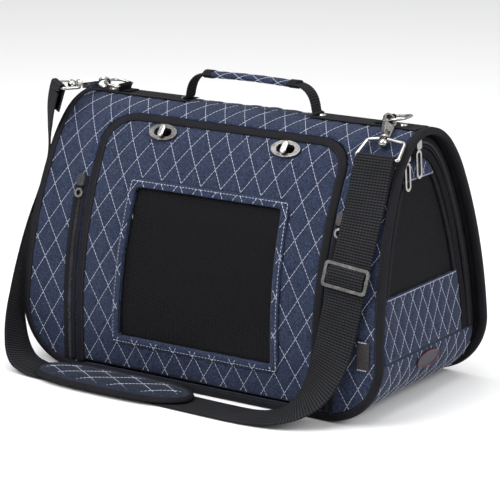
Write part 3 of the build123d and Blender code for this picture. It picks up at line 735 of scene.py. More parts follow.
# ------------------------ front door
def door_region(u, v):
    inside = door_distance(u, v, -2.5 * MM)
    bottom = DOOR_BOTTOM + 0.4 * MM - v
    return np.maximum.reduce([inside, bottom, -window_distance(u, v)])


door_low, door_high = (-DOOR_HALF, 0.0), (DOOR_HALF, float(rise(DOOR_TOP)))
lock_v = float(rise(LOCK_Z))


def around_locks(u, v, d):
    """The door's relief, pressed flat under the lock plates."""
    base = half_relief(u, v, d)
    for side in (-1, 1):
        ring = np.hypot((u - side * LOCK_X) / 0.019, (v - lock_v) / 0.012)
        base = np.where(ring < 1.0, 0.4 * MM, base)
    return base


def lock_holes(u, v):
    """Distance to the two slots under the lock plates."""
    best = np.full(np.shape(u), 1.0)
    for side in (-1, 1):
        straight = np.maximum(np.abs(u - side * LOCK_X) - LOCK_SLOT[0], 0)
        best = np.minimum(best, np.hypot(straight, v - lock_v) - LOCK_SLOT[1])
    return best


def door_cloth_region(u, v):
    return np.maximum(door_region(u, v), -lock_holes(u, v))


door = cloth(
    "door_panel_cloth", door_low, door_high, QUILT_CELL, door_cloth_region, on_wrap, around_locks, PANEL,
    "front_door", [DENIM, LINING],
)
stand_for(door, "door_panel")


def door_stitch_region(u, v):
    d = door_region(u, v)
    for side in (-1, 1):
        ring = (np.hypot((u - side * LOCK_X) / 0.0175, (v - lock_v) / 0.010) - 1) * 0.01
        d = np.maximum(d, -ring)
    return np.maximum(d, HEM - window_distance(u, v))


quilt_stitches(
    "door_panel_stitching", door_low, door_high, QUILT, door_stitch_region, on_wrap, "front_door",
    around_locks,
)

door_top_v = float(rise(DOOR_TOP))
_flat, _rise = DOOR_HALF - DOOR_CORNER, door_top_v - DOOR_CORNER
_side = np.stack([np.full(70, DOOR_HALF), np.linspace(DOOR_BOTTOM, _rise, 70)], -1)
_corner = arc_points((_flat, _rise), DOOR_CORNER, 0, 90, 18)
_top = np.stack([np.linspace(_flat, -_flat, 60), np.full(60, door_top_v)], -1)
_half = np.concatenate([_side[:-1], _corner, _top[1:30]])
door_path = np.concatenate([_half, (_half * [-1, 1])[::-1]])
piece = binding("door_binding_tape", door_path, on_wrap, 1, DOOR_BINDING, BINDING_UNDER, "front_door")
stand_for(piece, "door_binding")


def hem_region(u, v):
    return np.maximum(window_distance(u, v, HEM), -window_distance(u, v, -0.6 * MM))


def hem_relief(u, v, d):
    """A turned edge: thickest at the window, stitched down near its outer side."""
    out = window_distance(u, v)
    roll = np.clip(out / HEM, 0, 1)
    return 1.3 * MM + 1.0 * MM * np.sin(math.pi * np.clip(roll * 0.9 + 0.1, 0, 1)) ** 0.6


hem = cloth(
    "door_window_hem_cloth", (-0.1, 0.03), (0.1, 0.21), (1.6 * MM, 1.6 * MM), hem_region, on_wrap, hem_relief,
    0.8 * MM, "front_door", [DENIM],
)
stand_for(hem, "door_window_hem")


def window_path(grow):
    """The window's outline with the cloth's lengths, as a closed line."""
    low, high = float(rise(WINDOW_BOTTOM)) - grow, float(rise(WINDOW_TOP)) + grow
    bottom_half, top_half = WINDOW_HALF_BOTTOM + grow, WINDOW_HALF_TOP + grow
    corners = [(-bottom_half, low), (bottom_half, low), (top_half, high), (-top_half, high)]
    corners.append(corners[0])
    points = []
    for a, b in zip(corners, corners[1:]):
        share = np.linspace(0, 1, 50)[:-1, None]
        points.append(np.array(a) * (1 - share) + np.array(b) * share)
    return np.concatenate(points + [np.array([corners[-1]])])


def hem_stitch_region(u, v):
    return np.maximum(window_distance(u, v, HEM), -window_distance(u, v))


def hem_stitch_relief(u, v, d):
    return hem_relief(u, v, d) + 0.35 * MM


quilt_stitches(
    "hem_quilting", door_low, door_high, QUILT, hem_stitch_region, on_wrap, "front_door",
    hem_stitch_relief,
)
seam("window_seam", window_path(5.0 * MM), on_wrap, 2.75 * MM, "front_door", THREAD, 3.6 * MM)


# ------------------------ mesh windows
def strand_mesh(name, low, high, region, place, body, node, depth):
    """Woven mesh: two sets of square strands that cross, cut at the window's edge."""
    half, thick = 0.27 * MM, 0.22 * MM
    verts, faces, first = [], [], 0
    for axis, across, lift in ((0, (1.0, 0.0), 0.0), (1, (0.0, 1.0), 0.12 * MM)):
        other = 1 - axis
        count = int((high[axis] - low[axis]) / STRAND_PITCH)
        samples = np.linspace(low[other], high[other], int((high[other] - low[other]) / (3 * MM)) + 2)
        for k in range(count):
            line = np.zeros((len(samples), 2))
            line[:, axis] = low[axis] + (k + 0.5) * STRAND_PITCH
            line[:, other] = samples
            line = line[region(line[:, 0], line[:, 1]) < 0]
            if len(line) < 2:
                continue
            rings = []
            for du, out in ((-half, 0), (half, 0), (half, thick), (-half, thick)):
                shifted = line + np.array(across) * du
                rings.append(place(*shifted.T, np.full(len(line), lift + out - depth)))
            verts.append(np.stack(rings, 1).reshape(-1, 3))
            faces += tube_faces(4, len(line), first)
            first += 4 * len(line)
    obj = make_mesh(name, np.concatenate(verts), faces, body, [STRAND], smooth=False)
    return stand_for(obj, node)


strand_mesh(
    "door_mesh_strands", (-0.092, 0.040), (0.092, float(rise(WINDOW_TOP)) + 2 * MM),
    lambda u, v: window_distance(u, v, 2 * MM), on_wrap, "front_door", "door_mesh", 2.2 * MM,
)

# ------------------------ ends
def end_inside(u, v, inset):
    return arch_distance(u, end_height(v)) + inset


def beside_window(u, v):
    """Between the window's upper and lower hems."""
    z = end_height(v)
    return np.maximum(SIDE_WINDOW_BOTTOM - z, z - SIDE_WINDOW_TOP)


def end_cloth_region(inset):
    def region(u, v):
        below = SIDE_DOOR_BOTTOM - end_height(v)
        return np.maximum.reduce([end_inside(u, v, inset), below, -beside_window(u, v), -v])

    return region


def end_tape_region(inset):
    def region(u, v):
        return np.maximum.reduce([end_inside(u, v, inset), beside_window(u, v), -end_window_distance(u, v)])

    return region


def end_tape_relief(u, v, d):
    """Black tape beside the mesh: a low roll with a valley."""
    return 0.5 * MM * np.sin(np.clip(-d / (3.4 * MM), 0, 2) * math.pi / 2)


end_relief = quilted(END_QUILT, puff=1.0 * MM, edge=5 * MM, soft=0.5 * MM)


def folded_rim(u, v, d):
    """Soft black folds that run round the rim beside the zip."""
    depth = -end_inside(u, v, 0.0)
    return 0.9 * MM * np.sin(depth / 0.0062 * 2 * math.pi + 0.8) + 0.5 * MM * np.sin(v * 60 + u * 25)


def window_hem(name, side, body):
    """The white-stitched hems over and under an end's mesh window."""
    place = on_end(side)
    for label, z, grow in (("low", SIDE_WINDOW_BOTTOM, -1), ("high", SIDE_WINDOW_TOP, 1)):
        v = float(end_rise(z)) + grow * 1.4 * MM
        ys = np.linspace(-0.1, 0.1, 400)
        ys = ys[end_inside(ys, np.full(400, v), SIDE_RIM + 2.5 * MM if side > 0 else SIDE_RIM * 0.5) < 0]
        path = np.stack([ys, np.full(len(ys), v)], -1)
        seam(f"{name}_hem_{label}", path, place, 1.1 * MM, body, THREAD, 3.2 * MM, 0.5 * MM)


end_low, end_high = (-0.1, float(end_rise(SIDE_DOOR_BOTTOM)) - 2 * MM), (0.1, float(end_rise(HEIGHT)))
for name, side, body, inset in (
    ("left_end_panel", -1, "root", END_GAP),
    ("side_door_panel", 1, "side_door", SIDE_RIM + 0.6 * MM),
):
    region, place = end_cloth_region(inset), on_end(side)
    panel = cloth(
        f"{name}_cloth", end_low, end_high, END_CELL, region, place, end_relief, PANEL, body,
        [DENIM, LINING],
    )
    stand_for(panel, name)
    cloth(
        f"{name}_window_tape", end_low, end_high, (1.4 * MM, 2.2 * MM), end_tape_region(inset), place,
        end_tape_relief, 2 * MM, body, [BLACK_TAPE],
    )
    quilt_stitches(
        f"{name}_stitching", end_low, end_high, END_QUILT, region, place, body, end_relief
    )
    window_hem(name, side, body)

for name, side, body in (("left_end_mesh", -1, "root"), ("side_door_mesh", 1, "side_door")):
    strand_mesh(
        f"{name}_strands", (-0.085, float(end_rise(SIDE_WINDOW_BOTTOM)) - 3 * MM),
        (0.085, float(end_rise(SIDE_WINDOW_TOP)) + 3 * MM),
        shrunk(end_window_distance, -2 * MM), on_end(side), body, name, 2.2 * MM,
    )


def rim_region(u, v):
    ring = np.maximum(end_inside(u, v, END_GAP), -end_inside(u, v, SIDE_RIM))
    return np.maximum(ring, SIDE_DOOR_BOTTOM - 0.6 * MM - end_height(v))


rim = cloth(
    "right_end_rim_cloth", end_low, end_high, (1.5 * MM, 1.8 * MM), rim_region, on_end(1), folded_rim, 3.0 * MM,
    "root", [LINING, LINING],
)
stand_for(rim, "right_end_frame")


def on_base(u, v, out):
    """The lower shell's surface: u across the bag, v from the left end's top edge under to the right's."""
    x, z = end_profile(np.abs(v) - _corner_x, out, 1)
    return np.stack([np.where(v > 0, x, -x), np.broadcast_to(u, x.shape), z], -1)


base_v = float(end_rise(SIDE_DOOR_BOTTOM - 0.6 * MM)) + _corner_x


def base_region(u, v):
    return np.maximum(np.abs(u) - (HALF_DEPTH - END_GAP), np.abs(v) - base_v)


base_quilting = quilted(END_QUILT, puff=1.0 * MM, edge=5 * MM, soft=0.4 * MM)


def base_relief(u, v, d):
    """Quilting at the rounded ends, flat and pulled up a little under the floor."""
    lift = base_quilting(u, v, d)
    beside = np.clip((np.abs(v) - _corner_x) / 0.02, 0, 1)
    return np.where(beside > 0, lift * beside, 0) - 1.0 * MM * (1 - beside)


low, high = (-0.1, -base_v), (0.1, base_v)
base = cloth(
    "base_panel_cloth", low, high, END_CELL, base_region, on_base, base_relief, PANEL - 0.5 * MM, "root",
    [DENIM, LINING],
)
stand_for(base, "base_panel")


def base_stitch_region(u, v):
    return np.maximum(base_region(u, v), _corner_x + 6 * MM - np.abs(v))


quilt_stitches(
    "base_panel_stitching", low, high, END_QUILT, base_stitch_region, on_base, "root",
    base_relief,
)


# ------------------------ zips
def zip_teeth(name, path, place, out, body, half=2.2 * MM, pitch=1.7 * MM):
    """A coil zip: a tooth every pitch, across the path."""
    lengths = run_lengths(path)
    at = np.arange(int(lengths[-1] / pitch)) * pitch
    middle = along_line(at, lengths, path)
    tangent = along_line(at + MM, lengths, path) - middle
    tangent /= np.maximum(np.linalg.norm(tangent, axis=1, keepdims=True), 1e-9)
    across = np.stack([-tangent[:, 1], tangent[:, 0]], -1) * half
    starts, ends = middle - across, middle + across
    return capsules(name, place, starts, ends, out, 0.55 * MM, 0.7 * MM, body, COIL)


for name, side in SIDES:
    x = side * ZIP_X
    zip_top_v = float(rise(ZIP_TOP))

    def zip_tape_region(u, v, x=x, top=zip_top_v):
        return box_distance(u - x, v, ZIP_HALF, DOOR_BOTTOM + MM, top, 0.0, 0.003)

    def zip_tape_relief(u, v, d, x=x):
        """Two tapes with rolled edges that meet along the coil."""
        share = np.abs(u - x) / ZIP_HALF
        return 0.9 * MM + 0.7 * MM * np.exp(-(((share - 0.62) / 0.22) ** 2)) - 0.5 * MM * (share < 0.3)

    low, high = (x - ZIP_HALF, DOOR_BOTTOM), (x + ZIP_HALF, zip_top_v)
    tape = cloth(
        f"front_zip_tape_{name}_cloth", low, high, (0.875 * MM, 3 * MM), zip_tape_region, on_wrap, zip_tape_relief,
        0.6 * MM, "root", [BLACK_TAPE],
    )
    stand_for(tape, f"front_zip_tape_{name}")
    line = np.stack([np.full(60, x), np.linspace(DOOR_BOTTOM + 2 * MM, zip_top_v - 6 * MM, 60)], -1)
    zip_teeth(f"front_zip_teeth_{name}", line, on_wrap, 0.9 * MM, "root")

COIL_INSET = 0.0132
_s = np.linspace(float(rise(SIDE_DOOR_BOTTOM)), 2 * ARCH_HALF - float(rise(SIDE_DOOR_BOTTOM)), 300)
_points, _normals = arch(_s)
_ring = _points - _normals * COIL_INSET
coil_path = np.stack([_ring[:, 0], end_rise(_ring[:, 1])], -1)
teeth = zip_teeth("side_zip_teeth", coil_path, on_end(1), 1.6 * MM, "root", 2.0 * MM)
stand_for(teeth, "side_zip_coil")
_base, _in, _out = edge_frames(coil_path, on_end(1), -1)
for label, offset in (("outer", -3.6 * MM), ("inner", 3.6 * MM)):
    cord = oval(1.5 * MM, 0.9 * MM, 8, (offset, 1.3 * MM))
    sweep(f"side_zip_piping_{label}", _base, _in, _out, cord, "root", [BLACK_TAPE])


# ------------------------ shoulder strap
STRAP_ROUTE = (
    ((0.1708, -0.0572, 0.2362), (1, 0, 0)),
    ((0.1710, -0.0690, 0.2120), (1, 0, -0.05)),
    ((0.1710, -0.0845, 0.1780), (1, 0, -0.08)),
    ((0.1680, -0.0970, 0.1380), (1, 0, -0.12)),
    ((0.1640, -0.1055, 0.0970), (1, 0, -0.15)),
    ((0.1580, -0.1105, 0.0600), (0.97, -0.1, -0.25)),
    ((0.1460, -0.1190, 0.0280), (0.8, -0.5, -0.3)),
    ((0.1220, -0.1300, 0.0080), (0.35, -0.9, -0.15)),
    ((0.0900, -0.1345, 0.0014), (0, -1, 0)),
    ((0.0440, -0.1340, 0.0013), (0, -1, 0)),
    ((-0.0080, -0.1320, 0.0013), (0, -1, 0)),
    ((-0.0620, -0.1310, 0.0013), (0, -1, 0)),
    ((-0.1160, -0.1290, 0.0013), (0, -1, 0)),
    ((-0.1680, -0.1295, 0.0014), (0, -1, 0)),
    ((-0.1940, -0.1235, 0.0095), (0.1, -1, 0)),
    ((-0.2100, -0.1110, 0.0420), (0.22, -0.97, 0)),
    ((-0.2155, -0.0930, 0.0880), (0.35, -0.94, 0)),
    ((-0.2180, -0.0720, 0.1340), (0.45, -0.89, 0)),
    ((-0.2165, -0.0520, 0.1710), (0.52, -0.85, 0)),
    ((-0.2135, -0.0450, 0.1990), (0.6, -0.8, 0)),
    ((-0.2120, -0.0470, 0.2260), (0.66, -0.75, 0)),
    ((-0.2060, -0.0510, 0.2470), (0.74, -0.67, 0)),
    ((-0.2016, -0.0487, 0.2638), (0.766, -0.64, 0)),
)
STRAP_HALF, STRAP_THICK = 0.020, 0.0022
RIB_PITCH = 0.0026
LOOP_BARS = {
    "right": ((0.1708, -0.0550, 0.2404), (1.0, 0.0, 0.0)),
    "left": ((-0.1996, -0.0465, 0.2690), (0.766, -0.64, 0.0)),
}
FOLD_RADIUS, FOLD_START = 0.0030, 4.5 * MM
STRAP_DRAWN = 0.035


def spline_points(points, resolution):
    """Points read from the smooth NURBS line that has these control points."""
    data = bpy.data.curves.new("route", "CURVE")
    data.dimensions = "3D"
    data.resolution_u = resolution
    spline = data.splines.new("NURBS")
    spline.points.add(len(points) - 1)
    for point, place in zip(spline.points, points):
        point.co = (*place, 1)
    spline.order_u = 3
    spline.use_endpoint_u = True
    holder = bpy.data.objects.new("route", data)
    mesh = bpy.data.meshes.new_from_object(holder)
    line = np.array([v.co for v in mesh.vertices], float)
    bpy.data.meshes.remove(mesh)
    bpy.data.objects.remove(holder)
    bpy.data.curves.remove(data)
    return line


def webbing(name, centres, across, half, thick, body):
    """Flat ribbed webbing along a line."""
    tangent = unit(np.gradient(centres, axis=0))
    across = unit(across - tangent * (across * tangent).sum(1, keepdims=True))
    normal = np.cross(tangent, across)
    lengths = run_lengths(centres)
    columns = np.linspace(-1, 1, 15)
    rows = []
    for face in (1, -1):
        for column in columns if face > 0 else columns[::-1]:
            phase = 2 * math.pi * (lengths / RIB_PITCH + 0.5 * (round((column + 1) * 7) % 2))
            rib = 0.22 * MM * np.sin(phase) * (abs(column) < 0.95)
            edge = 0.45 if abs(column) > 0.95 else 1.0
            high = face * (thick / 2 * edge + rib - 0.1 * MM)
            rows.append(centres + across * half * column + normal * high[:, None])
    size, count = len(rows), len(centres)
    verts = np.stack(rows, 1).reshape(-1, 3)
    around = np.concatenate([columns, columns[::-1]]) * half
    uv = np.stack([np.repeat(lengths, size), np.tile(around, count)], -1)
    return make_mesh(name, verts, tube_faces(size, count), body, [WEBBING], uv)


route = [np.array(place) for place, _ in STRAP_ROUTE]
edge_route = [p + STRAP_HALF * np.array(a, float) for p, (_, a) in zip(route, STRAP_ROUTE)]
strap_line = spline_points(route, 90)
strap_across = spline_points(edge_route, 90) - strap_line
strap_run = run_lengths(strap_line)
for name, end, along, outward in (
    ("right", 0, unit(strap_line[0] - strap_line[4]), (0.0, -0.9, 0.44)),
    ("left", -1, unit(strap_line[-1] - strap_line[-5]), (-0.6, -0.8, 0.1)),
):
    bar, bar_along = (np.array(v, float) for v in LOOP_BARS[name])
    bar_along = unit(bar_along)
    along = unit(along - bar_along * along.dot(bar_along))
    out = np.cross(bar_along, along)
    out = out * np.sign(out.dot(np.array(outward)))
    # The strap's end is drawn to where the fold begins.
    shift = bar - along * FOLD_START + out * FOLD_RADIUS - strap_line[end]
    near = strap_run if end == 0 else strap_run[-1] - strap_run
    strap_line = strap_line + shift * (1 - smooth_step(near / STRAP_DRAWN))[:, None]
    turn = np.linspace(math.pi / 2, -math.pi / 2, 26)
    up = np.concatenate([[-FOLD_START, -2.2 * MM], FOLD_RADIUS * np.cos(turn), np.linspace(-1.5, -24, 40) * MM])
    away = np.concatenate(
        [[FOLD_RADIUS] * 2, FOLD_RADIUS * np.sin(turn), -FOLD_RADIUS + np.linspace(0, 1.2, 40) * MM * 0.5]
    )
    fold_line = bar + up[:, None] * along + away[:, None] * out
    steps = np.linspace(0, len(fold_line) - 1, 140)
    fold_line = along_line(steps, range(len(fold_line)), fold_line)
    fold_across = np.repeat(bar_along[None], len(fold_line), 0)
    half, thick = STRAP_HALF - 0.4 * MM, STRAP_THICK * 0.9
    webbing(f"strap_fold_{name}", fold_line, fold_across, half, thick, "shoulder_strap")

strap = webbing("strap_ribbon", strap_line, strap_across, STRAP_HALF, STRAP_THICK, "shoulder_strap")
stand_for(strap, "strap_webbing_front", "strap_webbing_floor", "strap_webbing_side")

# The webbing's fold over the adjuster's middle bar.
slide = next(j for j in frame["joints"] if j["name"] == "adjuster_slide")
down = np.array(slide["axis"], float)
adjuster_across = np.array([1.0, 0.0, -0.1])
adjuster_across = unit(adjuster_across - down * adjuster_across.dot(down))
adjuster_out = np.cross(adjuster_across, down)
adjuster_out = adjuster_out * -np.sign(adjuster_out[1])
share = np.linspace(-1, 1, 90)[:, None]
band = sum(np.array(v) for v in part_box("strap_adjuster")) / 2 + share * 10.5 * MM * down
band = band + (2.9 * MM - 5.0 * MM * share**2) * adjuster_out
webbing("adjuster_webbing", band, np.repeat(adjuster_across[None], 90, 0), 0.0192, 1.9 * MM, "strap_adjuster")

# ------------------------ shoulder pad
pad_low, pad_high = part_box("shoulder_pad")
PAD_MIDDLE = ((pad_low[0] + pad_high[0]) / 2, (pad_low[1] + pad_high[1]) / 2)
PAD_HALF = ((pad_high[0] - pad_low[0]) / 2 - 0.4 * MM, (pad_high[1] - pad_low[1]) / 2 - 0.4 * MM)
PAD_FLOOR = pad_low[2] + 2.6 * MM
PAD_QUILT = (0.036, 0.022)
PAD_POWERS = (3.0, 2.2)


def pad_region(u, v):
    def raw(a, b):
        return (np.abs(a) / PAD_HALF[0]) ** PAD_POWERS[0] + (np.abs(b) / PAD_HALF[1]) ** PAD_POWERS[1] - 1

    e = 1e-5
    slope = np.hypot(raw(u + e, v) - raw(u - e, v), raw(u, v + e) - raw(u, v - e)) / (2 * e)
    return raw(u, v) / np.maximum(slope, 6.0)


on_pad = on_flat(PAD_MIDDLE, PAD_FLOOR)


def pad_relief(u, v, d):
    """A crowned top that pillows between its quilting lines."""
    return crown(d, 6.2 * MM, 9 * MM) * (0.72 + 0.28 * diamond(u, v, PAD_QUILT))


pad_cell = (2.1 * MM, 1.2 * MM)
low, high = (-PAD_HALF[0], -PAD_HALF[1]), PAD_HALF
pad = cloth(
    "shoulder_pad_top", low, high, pad_cell, shrunk(pad_region, 1.5 * MM), on_pad, pad_relief, 1.5 * MM,
    "shoulder_strap", [PAD_DENIM],
)
stand_for(pad, "shoulder_pad")
quilt_stitches(
    "shoulder_pad_stitching", low, high, PAD_QUILT, shrunk(pad_region, 4 * MM), on_pad,
    "shoulder_strap", pad_relief,
)
cloth(
    "shoulder_pad_underside", low, high, (3 * MM, 3 * MM), shrunk(pad_region, 1.5 * MM), on_pad,
    lambda u, v, d: np.full(len(u), -1.9 * MM), 0.5 * MM, "shoulder_strap", [LINING],
)
angles = np.linspace(0, 2 * math.pi, 241)[:-1]
pad_parts = zip(PAD_HALF, PAD_POWERS, (np.cos(angles), np.sin(angles)))
pad_path = np.stack([half * signed_power(part, 2 / power) for half, power, part in pad_parts], -1)
pad_path = np.concatenate([pad_path, pad_path[:1]])
pad_run = run_lengths(pad_path)
pad_path = along_line(np.linspace(0, pad_run[-1], 261)[:-1], pad_run, pad_path)
binding(
    "shoulder_pad_binding", pad_path, on_pad, 1, 5.5 * MM, 2.4 * MM, "shoulder_strap", closed=True, proud=2.6 * MM
)

# ------------------------ handle
GRIP_HALF = 0.050
grip_low, grip_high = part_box("handle_grip")
GRIP_Z = (grip_low[2] + grip_high[2]) / 2
GRIP_RADII = ((grip_high[1] - grip_low[1]) / 2, (grip_high[2] - grip_low[2]) / 2)
GRIP_QUILT = (0.022, 0.018)
GRIP_SCALE = 0.0058
LEG_HALF, LEG_THICK = 0.0078, 2.4 * MM
LEG_BLEND_X, LEG_BLEND_Z = 0.072, (0.264, 0.279)
LEG_ROUTE = (
    (76.5, 262.4), (74.0, 262.6), (72.4, 264.5), (71.6, 270.0), (69.0, 278.0), (63.5, 284.4), (56.0, 287.6),
    (49.0, 288.3), (43.0, 288.2),
)
CUFF_X = (0.0535, 0.0445)


def on_grip(u, v, out):
    """The rolled grip's surface: u along it, v round it as an angle scaled to a length."""
    angle = np.asarray(v) / GRIP_SCALE
    a, b = GRIP_RADII[0] - 0.8 * MM + np.asarray(out), GRIP_RADII[1] - 0.8 * MM + np.asarray(out)
    sag = 1.2 * MM * np.cos(np.asarray(u) / GRIP_HALF * math.pi / 2)
    y = a * signed_power(np.sin(angle), 0.85)
    z = -b * signed_power(np.cos(angle), 0.85)
    return np.stack([np.broadcast_to(u, y.shape), y, GRIP_Z + z + sag - 0.6 * MM], -1)


grip_round = 2 * math.pi * GRIP_SCALE
grip_low_uv, grip_high_uv = (-GRIP_HALF + 4 * MM, 0.0), (GRIP_HALF - 4 * MM, grip_round)


def grip_region(u, v):
    return np.maximum(np.abs(u) - GRIP_HALF + 4 * MM, np.abs(v - grip_round / 2) - grip_round / 2)


def grip_relief(u, v, d):
    return 0.7 * MM * diamond(u, v, GRIP_QUILT)


grip = cloth(
    "handle_grip_cloth", grip_low_uv, grip_high_uv, (1.5 * MM, grip_round / 36), grip_region, on_grip,
    grip_relief, 0.8 * MM, "handle", [DENIM],
)
stand_for(grip, "handle_grip")
quilt_stitches(
    "handle_grip_stitching", grip_low_uv, grip_high_uv, GRIP_QUILT, shrunk(grip_region, -0.5 * MM),
    on_grip, "handle", grip_relief,
)
legs = []
for name, side in SIDES:
    line = spline_points([np.array([side * x * MM, 0.0, z * MM]) for x, z in LEG_ROUTE], 24)
    across = np.repeat(np.array([[0.0, 1.0, 0.0]]), len(line), 0)
    leg = webbing(f"handle_leg_{name}", line, across, LEG_HALF, LEG_THICK, None)
    if side < 0:
        leg.data.flip_normals()
    start, end = ((side * LEG_BLEND_X, 0, z) for z in LEG_BLEND_Z)
    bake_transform(leg)
    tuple(start)
    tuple(end)
    legs.append(leg)
    xs = np.linspace(side * CUFF_X[0], side * CUFF_X[1], 8)
    base = np.stack([xs, np.zeros(8), np.full(8, GRIP_Z - 0.2 * MM)], -1)
    ahead, up = np.tile([0.0, 1.0, 0.0], (8, 1)), np.tile([0.0, 0.0, 1.0], (8, 1))
    cuff = oval(7.2 * MM, 4.1 * MM, 24)
    sweep(f"handle_cuff_{name}", base, ahead, up, cuff, "handle", [BLACK_TAPE])
stand_for(legs[0], "handle_webbing", "handle_feet")


# ------------------------ ridge webbing
RIDGE_BAND, RIDGE_BAND_HALF = (0.0705, 0.1865), 0.0123
for name, side in SIDES:
    xs = np.linspace(*RIDGE_BAND, 260) * side
    line = np.stack([xs, np.zeros(260), np.full(260, HEIGHT + 0.6 * MM)], -1)
    across = np.tile([0.0, 1.0, 0.0], (260, 1))
    band = webbing(f"ridge_webbing_{name}_strip", line, across, RIDGE_BAND_HALF, 1.0 * MM, "root")
    if side < 0:
        band.data.flip_normals()
    stand_for(band, f"ridge_webbing_{name}")

# ------------------------ inside: mat and facing
mat_low, mat_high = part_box("floor_mat")
MAT_HALF = ((mat_high[0] - mat_low[0]) / 2, (mat_high[1] - mat_low[1]) / 2)


on_mat = on_flat((0.0, 0.0), mat_low[2] + 0.5 * MM)


def mat_region(u, v):
    return box_distance(u, v, MAT_HALF[0], -MAT_HALF[1], MAT_HALF[1], 0.016, 0.016)


def mat_relief(u, v, d):
    high = crown(d, 7.2 * MM, 5 * MM) + 0.3 * MM
    return high * (0.8 + 0.2 * np.abs(np.sin(u / 0.045 * math.pi) * np.sin(v / 0.045 * math.pi)) ** 0.4)


mat = cloth(
    "floor_mat_fleece", (-MAT_HALF[0], -MAT_HALF[1]), MAT_HALF, (4 * MM, 4 * MM), mat_region, on_mat, mat_relief,
    0.4 * MM, "root", [FLEECE],
)
stand_for(mat, "floor_mat")


FACING_HALF, FACING_Z = 0.150, (0.2215, 0.2555)
facing_low_v, facing_high_v = (float(rise(z)) for z in FACING_Z)


def facing_region(u, v):
    return box_distance(u, v, FACING_HALF, facing_low_v, facing_high_v, 0.004, 0.004)


facing = cloth(
    "lock_facing_cloth", (-0.15, 0.2), (0.15, 0.3), (4 * MM, 2 * MM), facing_region, on_wrap,
    lambda u, v, d: -6.1 * MM - 0.2 * MM * np.sin(u * 90), 1.6 * MM, "root", [LINING],
)
stand_for(facing, "lock_facing")

# ------------------------ label
LABEL_X, LABEL_Z, LABEL_HALF = 0.187, 0.068, (0.0065, 0.014)
label_v = float(rise(LABEL_Z))


def label_region(u, v):
    low_v, high_v = label_v - LABEL_HALF[1], label_v + LABEL_HALF[1]
    return box_distance(u - LABEL_X, v, LABEL_HALF[0], low_v, high_v, 0.0008, 0.0008)


def label_relief(u, v, d):
    return 2.3 * MM + 0.4 * MM * np.sin((v - label_v) * 160)


low, high = (LABEL_X - 0.008, label_v - 0.016), (LABEL_X + 0.008, label_v + 0.016)
label = cloth(
    "label_tag_cloth", low, high, (MM, MM), label_region, on_wrap, label_relief, 0.6 * MM, "root",
    [LABEL],
)
stand_for(label, "label_tag")
for name, v in (("low", label_v - 0.0128), ("high", label_v + 0.0128)):
    path = np.array([[LABEL_X - LABEL_HALF[0] + MM, v], [LABEL_X + LABEL_HALF[0] - MM, v]])
    lift = float(label_relief(0.0, v, 0.0)) + 0.25 * MM
    seam(f"label_seam_{name}", path, on_wrap, lift, "root", THREAD, 1.6 * MM, 0.5 * MM)

# ------------------------ badge rim
BADGE_Z, BADGE_RADII = 0.041, (0.0195, 0.0077)
badge_turn = math.asin((BADGE_Z - END_CORNER) / END_CORNER)
badge_normal = np.array([math.cos(badge_turn), 0.0, math.sin(badge_turn)])
badge_up = np.array([-math.sin(badge_turn), 0.0, math.cos(badge_turn)])
badge_middle = sum(np.array(v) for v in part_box("end_badge")) / 2 + badge_normal * 0.7 * MM
badge_oval = np.array(oval(*BADGE_RADII, 72))
ring = badge_middle + badge_oval[:, :1] * [0.0, 1.0, 0.0] + badge_oval[:, 1:] * badge_up
radial = unit(ring - badge_middle)
normals = np.tile(badge_normal, (72, 1))
bead = oval(0.7 * MM, 0.55 * MM, 8)
sweep("end_badge_rim", ring, radial, normals, bead, "root", [RIM], closed=True)


# ------------------------ camera, light and floor
def look_from(azimuth, elevation, distance, target):
    a, e = math.radians(azimuth), math.radians(elevation)
    back = Vector((math.sin(a) * math.cos(e), -math.cos(a) * math.cos(e), math.sin(e)))
    return Vector(target) + back * distance, (-back).to_track_quat("-Z", "Y")


CAMERA_AZIMUTH, CAMERA_ELEVATION, CAMERA_DISTANCE = 33.7, 14.3, 2.217
CAMERA_TARGET = (0, 0, 0.1245)
camera_data = bpy.data.cameras.new("camera")
camera_data.lens, camera_data.sensor_width = 164.0, 36.0
camera_data.shift_x, camera_data.shift_y = -0.005, -0.0112
camera_data.clip_end = 20.0
camera = add_object("camera", camera_data)
camera.rotation_mode = "QUATERNION"
camera.location, camera.rotation_quaternion = look_from(
    CAMERA_AZIMUTH, CAMERA_ELEVATION, CAMERA_DISTANCE, CAMERA_TARGET
)
bpy.context.scene.camera = camera

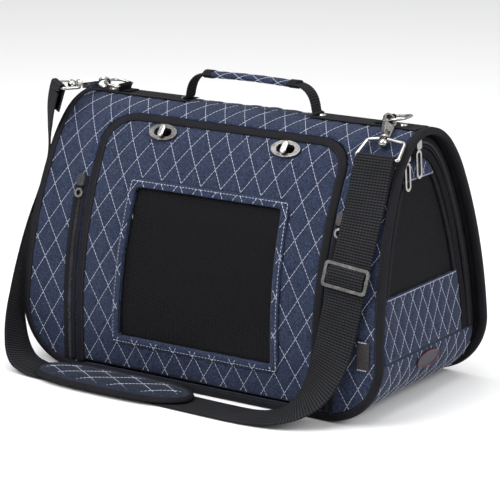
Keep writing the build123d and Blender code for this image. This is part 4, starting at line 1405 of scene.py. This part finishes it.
FLOOR_HALF, FLOOR_Z = 12.0, -0.5 * MM
floor_corners = [(x * FLOOR_HALF, y * FLOOR_HALF, FLOOR_Z) for x, y in ((-1, -1), (1, -1), (1, 1), (-1, 1))]
floor_look = new_material("floor", (0.86, 0.86, 0.86), 0.9)[0]
floor = make_mesh("floor", floor_corners, [(0, 1, 2, 3)], None, materials=[floor_look], smooth=False)
floor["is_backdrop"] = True


def area_light(name, azimuth, elevation, distance, size, power):
    data = bpy.data.lights.new(name, "AREA")
    data.size, data.energy = size, power
    light = add_object(name, data)
    light.rotation_mode = "QUATERNION"
    light.location, light.rotation_quaternion = look_from(azimuth, elevation, distance, (0, 0, 0.12))


area_light("key", -20, 45, 2.4, 1.4, 40)
area_light("right_fill", 88, 32, 2.4, 1.4, 26)
area_light("top", 10, 85, 2.2, 1.6, 26)


def studio_world():
    """White behind the object; for light and reflections, a bright ceiling over darker walls."""
    world = bpy.data.worlds.new("studio")
    world.use_nodes = True
    tree = world.node_tree
    height = new_node(tree, "SeparateXYZ", Vector=coords(tree, "Generated")).outputs["Z"]
    stops = [
        (0.0, (0.42, 0.42, 0.43)), (0.25, (0.20, 0.20, 0.21)), (0.55, (0.75, 0.75, 0.76)), (1.0, (0.9, 0.9, 0.9)),
    ]
    white = new_node(tree, "RGB").outputs["Color"]
    white.default_value = (1, 1, 1, 1)
    seen = new_node(tree, "LightPath").outputs["Is Camera Ray"]
    colour = mix(tree, seen, ramp(tree, height, stops), white)
    feed(tree, tree.nodes["Background"], Color=colour, Strength=1.0)
    bpy.context.scene.world = world


studio_world()
bpy.context.scene.view_settings.view_transform = "Standard"

nickel_pairs = ("d_ring", "snap_hook", "swivel_loop", "hook_trigger", "lock_toggle", "front_zip_pull")
node_looks = {
    "base_board": BOARD, "end_badge": RUBBER, "rivets": NICKEL, "lock_plates": PLATE_NICKEL,
    "strap_adjuster": NICKEL,
}
for name, _ in SIDES:
    node_looks.update({f"{part}_{name}": NICKEL for part in nickel_pairs})
    node_looks.update({f"d_ring_tab_{name}": WEBBING, f"front_zip_slider_{name}": COIL})
for name in ("front", "rear"):
    node_looks.update({f"side_zip_slider_{name}": NICKEL, f"side_zip_pull_{name}": NICKEL})
for node, material in node_looks.items():
    obj = frame["nodes"][node]
    obj.data.materials.clear()
    obj.data.materials.append(material)

tuple(strap_line[0])

bpy.context.view_layer.update()
low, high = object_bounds()
{"cad": [list(cad_low), list(cad_high)], "visual": [list(low), list(high)]}
